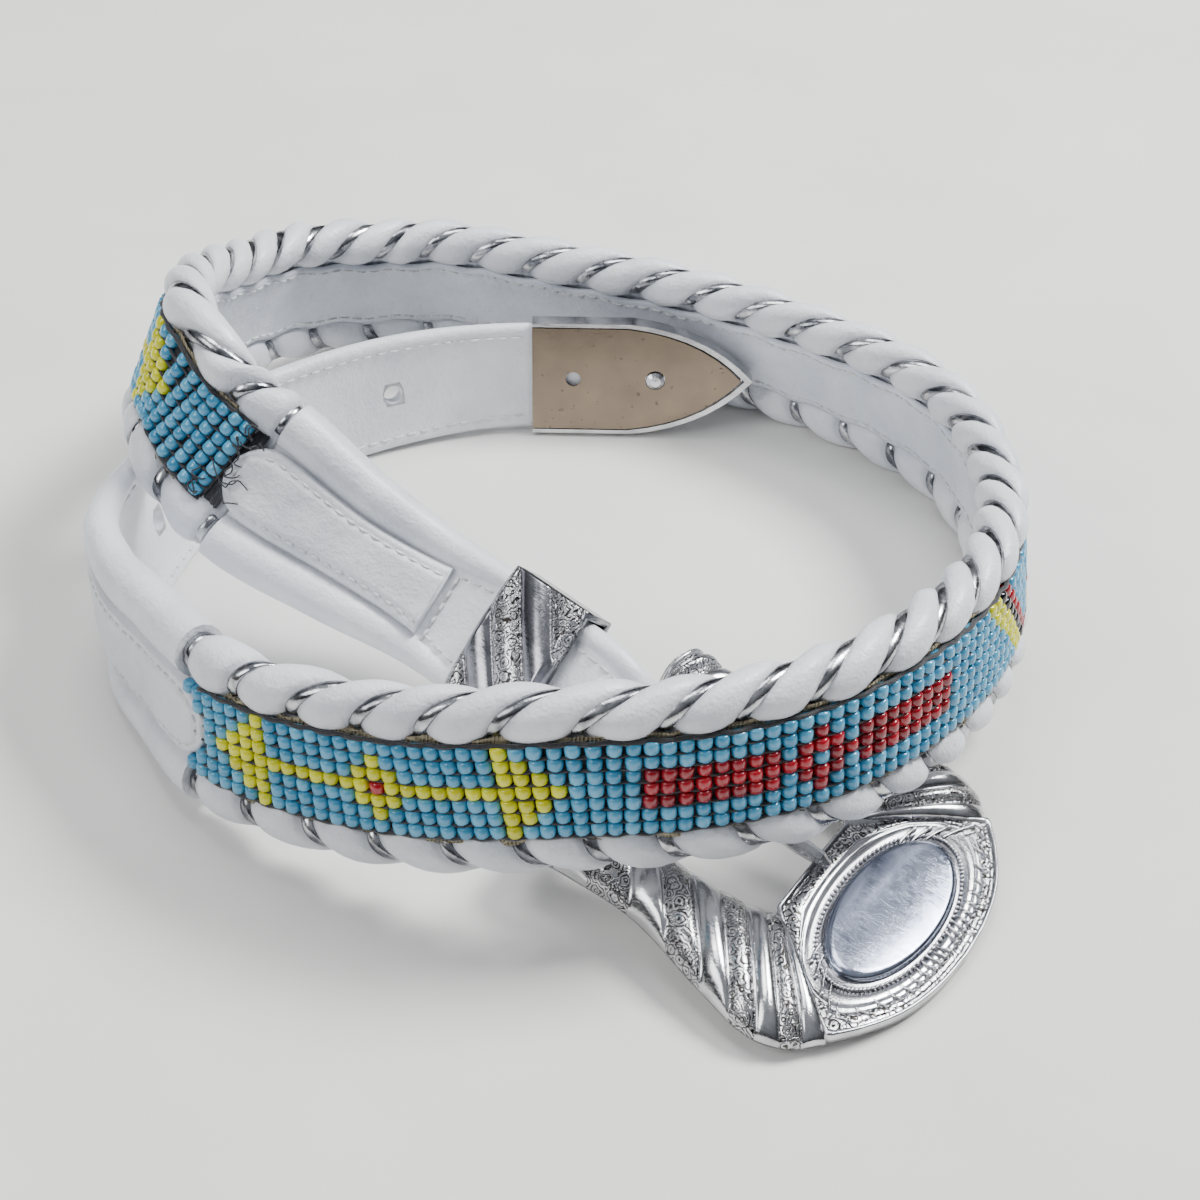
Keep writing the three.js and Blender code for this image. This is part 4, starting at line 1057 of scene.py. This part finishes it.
class BELT_OT_overlays(bpy.types.Operator):
    """Leather overlays that cover both ends of the bead strip"""

    bl_idname = "belt.overlays"
    bl_label = "Overlays"

    def execute(self, context):
        finish = finishes(context.scene.belt_maker)
        near = BAND_START + TAB_OVER_BAND
        far = BAND_END - TAB_OVER_BAND
        overlay("billet_overlay", "billet_tab", near, near - BILLET_TAB_LENGTH, finish, 81)
        overlay("buckle_overlay", "buckle_tab", far, far + BUCKLE_TAB_LENGTH, finish, 91)
        return {"FINISHED"}


class BELT_OT_keeper(bpy.types.Operator):
    """Cast keeper with slanted ropes, engraved one and polished the next; the polished ropes and the sides are darker
    silver, a painted dark reflection
    """

    bl_idname = "belt.keeper"
    bl_label = "Keeper"

    def execute(self, context):
        finish = finishes(context.scene.belt_maker)
        length_steps, width_steps = 49, 97
        xs = np.linspace(-KEEPER_LENGTH / 2, KEEPER_LENGTH / 2, length_steps)
        ys = np.linspace(-KEEPER_WIDTH / 2, KEEPER_WIDTH / 2, width_steps)
        half_depth = KEEPER_DEPTH / 2
        angle = math.radians(KEEPER_ROPE_ANGLE)
        pitch = KEEPER_ROPE_PITCH * math.cos(angle)
        grid_x, grid_y = np.meshgrid(xs, ys, indexing="ij")
        place = (grid_y * math.cos(angle) - grid_x * math.sin(angle)) / pitch + 0.5
        phase = place - np.floor(place)
        dome = half_depth - KEEPER_CROWN + KEEPER_CROWN * (1 - (2 * grid_y / KEEPER_WIDTH) ** 2)
        rope = 1.5 * np.sqrt(np.maximum(0, 1 - (2 * phase - 1) ** 2))
        lip = np.clip((KEEPER_LENGTH / 2 - np.abs(grid_x)) / 1.2, 0, 1)
        face = dome - 0.5 + rope * (0.25 + 0.75 * lip)
        outer = [(-KEEPER_WIDTH / 2 + 0.4, -half_depth), (0, -half_depth), (KEEPER_WIDTH / 2 - 0.4, -half_depth)]
        outer += [(KEEPER_WIDTH / 2, -half_depth + 0.4), (KEEPER_WIDTH / 2, 0)]
        left = [(-KEEPER_WIDTH / 2, 0), (-KEEPER_WIDTH / 2, -half_depth + 0.4)]
        rings, inner_rings = [], []
        for i, x in enumerate(xs):
            loop = outer + list(zip(ys[::-1], face[i, ::-1])) + left
            rings.append([(x, y, z) for y, z in loop])
            inner_half = KEEPER_WIDTH / 2 - KEEPER_WALL
            high = half_depth - KEEPER_CROWN - KEEPER_WALL
            inner = [(min(max(y, -inner_half), inner_half), -half_depth + KEEPER_WALL) for y, _ in outer[:4]]
            inner += [(inner_half, 0)] + [(min(max(y, -inner_half), inner_half), high) for y in ys[::-1]]
            inner += [(-inner_half, 0), (-inner_half, -half_depth + KEEPER_WALL)]
            inner_rings.append([(x, y, z) for y, z in inner])
        count = len(rings[0])
        points = np.array(rings + inner_rings).reshape(-1, 3)
        faces = tube_faces(length_steps, count, caps=False)
        inner_first = length_steps * count
        faces += [face[::-1] for face in tube_faces(length_steps, count, caps=False, first=inner_first)]
        last = (length_steps - 1) * count
        for j in range(count):
            k = (j + 1) % count
            faces.append([k, j, inner_first + j, inner_first + k])
            faces.append([last + j, last + k, inner_first + last + k, inner_first + last + j])
        turned = outward_faces(points, faces)
        centres = np.array([points[face].mean(0) for face in turned])
        across_ropes = (centres[:, 1] * math.cos(angle) - centres[:, 0] * math.sin(angle)) / pitch + 0.5
        on_face = centres[:, 2] > half_depth - KEEPER_CROWN - 0.9
        # Engraved ropes take the engraved silver; the polished ropes and the sides take the darker silver, a painted
        # dark reflection
        slots = np.where(on_face & (np.floor(across_ropes) % 2 == 0), 1, 0)
        build("silver_keeper", moved(KEEPER_FRAME, points), turned, [finish["dark_reflection_silver"], finish["antiqued_cut"]], "keeper_loop",
              points, slots=slots, replaces=["keeper"])
        # Dotted lines in the valleys between the ropes
        dot, dot_faces = lathed([(0.05, -0.33), (0.26, -0.2), (0.33, 0), (0.26, 0.2), (0.05, 0.33)], 8)
        origins = []
        for k in np.arange(-3.5, 4):
            for x in np.arange(-KEEPER_LENGTH / 2 + 1.2, KEEPER_LENGTH / 2 - 1.1, 0.85):
                y = (k * pitch + x * math.sin(angle)) / math.cos(angle)
                if abs(y) < KEEPER_WIDTH / 2 - 1:
                    origins.append((x, y, half_depth - KEEPER_CROWN * (2 * y / KEEPER_WIDTH) ** 2 - 0.1))
        axes = np.repeat(np.eye(3)[None], len(origins), 0)
        points, faces = repeated(dot, dot_faces, np.array(origins), axes)
        build("keeper_dots", moved(KEEPER_FRAME, points), faces, [finish["polished"]], "keeper_loop", points)
        return {"FINISHED"}


# Half of the plate's outline as the solids have it, from the inner edge to the front: shares of reach and half width
PLATE_EDGE = ((0.847, 0.82), (0.905, 0.67), (0.96, 0.47), (0.99, 0.24), (1.0, 0.0))
# The arms' sections: inner u and v, outer u and v, and crest, as the solids have them
ARM_ROWS = (
    (-0.12, 1.3, -0.06, 0.7, 0.85),
    (-0.08, 1.12, -0.01, 0.79, 1.4),
    (0.03, 1.03, 0.1, 0.78, 1.3),
    (0.28, 1, 0.3, 0.79, 1),
    (0.56, 1, 0.52, 0.92, 1),
    (0.82, 1, 0.68, 1, 1),
    (0.98, 0.9, 0.78, 0.95, 0.9),
    (1.02, 0.86, 0.85, 0.81, 0.72),
)
ARM_PROFILE = ((0, 0), (0.04, 0.45), (0.2, 0.85), (0.5, 1), (0.8, 0.85), (0.97, 0.4), (1, 0))


def table_curve(rows, steps):
    """A table's columns along a smooth curve through its rows."""
    rows = np.array(rows, float)
    knots = np.arange(len(rows), dtype=float)
    at = np.linspace(0, knots[-1], steps)
    return np.stack([smooth_through(knots, rows[:, k], row_slopes(knots, rows[:, k], True), at) for k in range(rows.shape[1])], 1)


def plate_reach(angles):
    """How far the plate reaches from the oval's middle, at those angles."""
    front = table_curve(PLATE_EDGE, 120) * np.array([BUCKLE_REACH, BUCKLE_WIDTH / 2])
    inner = np.stack([np.linspace(OPENING_LENGTH, front[0, 0], 60), np.linspace(PLATE_INNER_HALF, front[0, 1], 60)], 1)
    flat = np.stack([np.full(60, OPENING_LENGTH), np.linspace(0, PLATE_INNER_HALF, 60)], 1)
    half = np.concatenate([flat, inner, front])
    outline = half - np.array([OVAL_FROM_BAR, 0])
    angle = np.arctan2(outline[:, 1], outline[:, 0])
    order = np.argsort(angle)
    return np.interp(np.abs((angles + math.pi) % math.tau - math.pi), angle[order], np.hypot(*outline.T)[order])


def plate_body():
    """The cast plate: a raised rim, a crowned scroll band, and the raised oval in its channel."""
    steps = 192
    angles = np.arange(steps) * math.tau / steps
    reach = plate_reach(angles)
    oval = 1 / np.sqrt((np.cos(angles) / (OVAL_WIDTH / 2)) ** 2 + (np.sin(angles) / (OVAL_LENGTH / 2)) ** 2)
    squeeze = np.clip((reach - 1.32 * oval) / 8.0, 0.15, 1)
    loops = [(reach * 0.02, -PLATE_THICKNESS), (reach - 0.4, -PLATE_THICKNESS), (reach, -PLATE_THICKNESS + 0.4)]
    rows = [(0, 0.45), (0.3, RIM_HEIGHT), (1.1, RIM_HEIGHT), (1.5, 0.15), (2.0, 0.05), (2.8, 0.35), (4.2, 0.5), (5.8, 0.35), (6.6, 0.05), (7.0, 0.3), (7.5, 0.1)]
    loops += [(reach - inset * squeeze, height) for inset, height in rows]
    loops += [(oval * scale, height) for scale, height in ((1.27, 0.1), (1.21, 0.35), (1.17, 0.05), (1.03, 0.05), (1.0, 0.2), (1.0, 1.0), (0.97, 1.45), (0.92, OVAL_RISE), (0.88, OVAL_RISE + 0.06), (0.3, OVAL_RISE + 0.16))]
    rings = [
        np.stack([OVAL_FROM_BAR + radius * np.cos(angles), radius * np.sin(angles), np.full(steps, height)], 1)
        for radius, height in loops
    ]
    points = np.concatenate(rings)
    faces = outward_faces(points, tube_faces(len(rings), steps))
    ring_of = np.array([min(face) // steps for face in faces])
    slots = np.where((ring_of >= 6) & (ring_of <= 9), 1, 0)
    first_oval_ring = len(rings) - 6
    slots[ring_of >= first_oval_ring] = 2
    # The channel round the oval takes the darker silver, a painted dark reflection
    slots[(ring_of >= first_oval_ring - 3) & (ring_of < first_oval_ring)] = 3
    return points, faces, slots


def arm_body(side):
    """A gadrooned arm: rope-like slanted lobes from the back end to the plate."""
    each = 12
    count = GADROONS * each + 1
    rows = table_curve(ARM_ROWS, count)
    profile = table_curve(ARM_PROFILE, 31)
    inner = rows[:, 0:2] * np.array([OPENING_LENGTH, OPENING_WIDTH / 2])
    outer = rows[:, 2:4] * np.array([BUCKLE_REACH, BUCKLE_WIDTH / 2])
    phase = (np.arange(count) % each) / each
    lobe = np.sin(math.pi * phase) ** 0.5
    height = (ARM_CREST + PLATE_THICKNESS) * rows[:, 4] * (1 - 0.26 * (1 - lobe))
    share = np.clip(profile[:, 0], 0, 1)
    flat = inner[:, None, :] * (1 - share)[None, :, None] + outer[:, None, :] * share[None, :, None]
    raised = -PLATE_THICKNESS + height[:, None] * np.clip(profile[:, 1], 0, None)[None, :]
    points = np.concatenate([flat * np.array([1, side]), raised[:, :, None]], 2).reshape(-1, 3)
    faces = outward_faces(points, tube_faces(count, len(profile)))
    lobe_of = np.array([min(face) // len(profile) // each for face in faces])
    slots = np.where((lobe_of % 2 == 0), 1, 0)
    return points, faces, slots


class BELT_OT_buckle(bpy.types.Operator):
    """Cast buckle: gadrooned arms, scroll-banded plate, dotted border and plain oval"""

    bl_idname = "belt.buckle"
    bl_label = "Buckle"

    def execute(self, context):
        finish = finishes(context.scene.belt_maker)
        bodies = [plate_body(), arm_body(1), arm_body(-1)]
        bar_frame = Matrix.Translation((0, 0, BAR_ABOVE_PLATE))
        bar, bar_faces = rod(bar_frame, BAR_RADIUS, OPENING_WIDTH + 2 * BAR_RADIUS)
        bodies.append((bar, bar_faces, np.zeros(len(bar_faces))))
        points, faces = joined([(p, f) for p, f, _ in bodies])
        slots = np.concatenate([s for _, _, s in bodies])
        build("cast_buckle", moved(BUCKLE_FRAME, points), faces,
              [finish[name] for name in ("polished", "engraved", "oval", "dark_reflection_silver")], "buckle", points, slots=slots, replaces=["buckle_frame"])

        # Dotted border round the oval
        dots = 104
        angles = np.arange(dots) * math.tau / dots
        border = np.stack([OVAL_FROM_BAR + OVAL_WIDTH / 2 * 1.11 * np.cos(angles), OVAL_LENGTH / 2 * 1.11 * np.sin(angles), np.full(dots, 0.25)], 1)
        dot, dot_faces = lathed([(0.05, -0.42), (0.32, -0.28), (0.42, 0), (0.32, 0.28), (0.05, 0.42)], 10)
        points, faces = repeated(dot, dot_faces, border, np.repeat(np.eye(3)[None], dots, 0))
        build("dotted_border", moved(BUCKLE_FRAME, points), faces, [finish["polished"]], "buckle", points)

        # Raised curled leaves side by side along the band inside the rim, each pair leaning to the front
        parts = []
        for place in np.radians(np.arange(5, 106, 7.2)):
            for side in (1, -1):
                share = np.linspace(0, 1, 16)
                angles = side * (place + 0.13 * share**1.6)
                inward = 2.3 + 4.0 * share - 1.1 * np.sin(math.pi * share) * share
                reach = plate_reach(angles) - inward
                leaf = np.stack([reach * np.cos(angles), reach * np.sin(angles), 0.5 * np.ones(16)], 1)
                thick = np.interp(share, (0, 0.12, 0.35, 1), (0.3, 0.62, 0.42, 0.12))
                parts.append(cord_body(leaf + np.array([OVAL_FROM_BAR, 0, 0]), thick))
        points, faces = joined(parts)
        build("rim_leaves", moved(BUCKLE_FRAME, points), faces, [finish["polished"]], "buckle", points)
        return {"FINISHED"}


class BELT_OT_tip(bpy.types.Operator):
    """Finishes of the pressed tip, its plate and rivet, and of the prong, on their own solids"""

    bl_idname = "belt.tip"
    bl_label = "Tip and prong"

    def execute(self, context):
        silver = plated_silver("polished_silver_sheet", False, cad_node=True)
        for name, finish, bevel in (
            ("tip_shell", silver, 0.25),
            ("tip_plate", copper_plate("worn_copper_plate"), 0.15),
            ("tip_rivet", silver, 0.2),
            ("prong", silver, 0.3),
        ):
            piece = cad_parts[name]
            piece.data.materials.clear()
            piece.data.materials.append(finish)
            piece.data.polygons.foreach_set("use_smooth", [True] * len(piece.data.polygons))
            edges = piece.modifiers.new("soft_edges", "BEVEL")
            edges.width = bevel * MM
            edges.segments = 2
            edges.limit_method = "ANGLE"
            edges.angle_limit = math.radians(35)
            edges.harden_normals = True
        return {"FINISHED"}


class BELT_OT_loose_threads(bpy.types.Operator):
    """Dark curled thread ends and a dark ragged mat of thread ends at the buckle end of the bead strip"""

    bl_idname = "belt.loose_threads"
    bl_label = "Loose threads"

    def execute(self, context):
        finish = finishes(context.scene.belt_maker)
        chance = np.random.default_rng(101)
        parts = []
        end = BAND_END - TAB_OVER_BAND - GAP
        for _ in range(16):
            steps = np.linspace(0, 1, 14)
            start = end + chance.uniform(-1.5, 2.0)
            across = chance.uniform(-9, 9)
            length = chance.uniform(3, 8)
            curl = chance.uniform(1.5, 4.5)
            line = COIL.place(
                start + steps * length * chance.choice([-0.4, 0.7]) + 0.7 * np.sin(steps * curl * 2),
                across + 1.6 * np.sin(steps * curl + chance.uniform(0, 6)),
                4.3 + 1.2 * np.sin(steps * math.pi * 0.9),
            )
            parts.append(cord_body(line, 0.16, 5))
        # The tied-off warp: a dark, ragged mat of thread ends across the strip's end
        steps = end + np.linspace(-1.2, 3.4, 12)
        reach = 9.6 - 0.5 * np.abs(ripples(steps, 0 * steps, 1.7, 111))
        high = 2.35 + 0.25 * ripples(steps, 0 * steps, 1.1, 112)
        across = np.stack([reach, reach, 0 * reach, -reach, -reach], 1)
        outward = np.stack([high * 0 + 1.9, high, high + 0.2, high, high * 0 + 1.9], 1)
        points, faces, _ = swept(steps, across, outward)
        parts.append((points, faces))
        points, faces = joined(parts)
        build("loose_dark_threads", points, faces, [finish["dark_thread"]], "belt")
        return {"FINISHED"}


class BELT_OT_stage(bpy.types.Operator):
    """Pale studio floor, soft lights and the camera"""

    bl_idname = "belt.stage"
    bl_label = "Studio"

    def execute(self, context):
        settings = context.scene.belt_maker
        mesh = bpy.data.meshes.new("studio_floor")
        size = 4.0
        mesh.from_pydata([(-size, -size, 0), (size, -size, 0), (size, size, 0), (-size, size, 0)], [], [[0, 1, 2, 3]])
        mesh.materials.append(studio_paper("pale_studio_paper", settings.floor_colour))
        floor = bpy.data.objects.new("studio_floor", mesh)
        context.scene.collection.objects.link(floor)
        # Soft boxes: place, width, power in watts
        for name, place, width, power in (
            ("key_soft_box", (0.75, 0.35, 1.05), 0.45, 29.0),
            ("fill_soft_box", (-0.9, -0.5, 0.9), 0.7, 8.0),
            ("top_soft_box", (-0.1, 0.35, 1.3), 0.6, 9.0),
        ):
            light = bpy.data.lights.new(name, "AREA")
            light.shape = "SQUARE"
            light.size = width
            light.energy = power
            lamp = bpy.data.objects.new(name, light)
            lamp.location = place
            lamp.rotation_euler = (-Vector(place)).to_track_quat("-Z", "Y").to_euler()
            context.scene.collection.objects.link(lamp)
        world = bpy.data.worlds.new("soft_studio")
        world.use_nodes = True
        tree = world.node_tree
        tree.nodes.clear()
        back = node(tree, "ShaderNodeBackground", Strength=0.5)
        place = tree.nodes.new("ShaderNodeTexCoord")
        height = node(tree, "ShaderNodeSeparateXYZ", {0: place.outputs["Generated"]}).outputs[2]
        sky = mixed(tree, ranged(tree, height, 0.15, 0.85), "#2d2f33", "#d9dee6")
        tree.links.new(sky, back.inputs[0])
        output = tree.nodes.new("ShaderNodeOutputWorld")
        tree.links.new(back.outputs[0], output.inputs[0])
        context.scene.world = world
        camera = bpy.data.cameras.new("camera")
        camera.sensor_width = 36
        camera.lens = 36 * 2278 / 1200
        camera.clip_start = 0.01
        eye = bpy.data.objects.new("camera", camera)
        context.scene.collection.objects.link(eye)
        tilt = Matrix.Rotation(math.radians(90 - 40.15), 4, "X")
        roll = Matrix.Rotation(math.radians(0.85), 4, "Z")
        eye.matrix_world = Matrix.Translation(Vector((7.16, -364.18, 316)) * MM) @ tilt @ roll
        context.scene.camera = eye
        return {"FINISHED"}


PIECE_OPERATORS = (
    BELT_OT_stage,
    BELT_OT_band,
    BELT_OT_lacing,
    BELT_OT_beads,
    BELT_OT_backing,
    BELT_OT_lining,
    BELT_OT_billet,
    BELT_OT_buckle_strap,
    BELT_OT_overlays,
    BELT_OT_keeper,
    BELT_OT_buckle,
    BELT_OT_tip,
    BELT_OT_loose_threads,
)


class BELT_PT_maker(bpy.types.Panel):
    """The belt's sizes, colours and pieces in the 3D view's sidebar"""

    bl_label = "Beaded belt"
    bl_space_type = "VIEW_3D"
    bl_region_type = "UI"
    bl_category = "Belt"

    def draw(self, context):
        settings = context.scene.belt_maker
        for name in BeltSettings.__annotations__:
            self.layout.prop(settings, name)
        for operator in PIECE_OPERATORS:
            self.layout.operator(operator.bl_idname)


def register():
    for made in (BeltSettings, *PIECE_OPERATORS, BELT_PT_maker):
        bpy.utils.register_class(made)
    bpy.types.Scene.belt_maker = bpy.props.PointerProperty(type=BeltSettings)


def unregister():
    del bpy.types.Scene.belt_maker
    for made in reversed((BeltSettings, *PIECE_OPERATORS, BELT_PT_maker)):
        bpy.utils.unregister_class(made)


def main():
    register()
    for operator in PIECE_OPERATORS:
        group, name = operator.bl_idname.split(".")
        getattr(getattr(bpy.ops, group), name)()


if __name__ == "__main__":
    main()
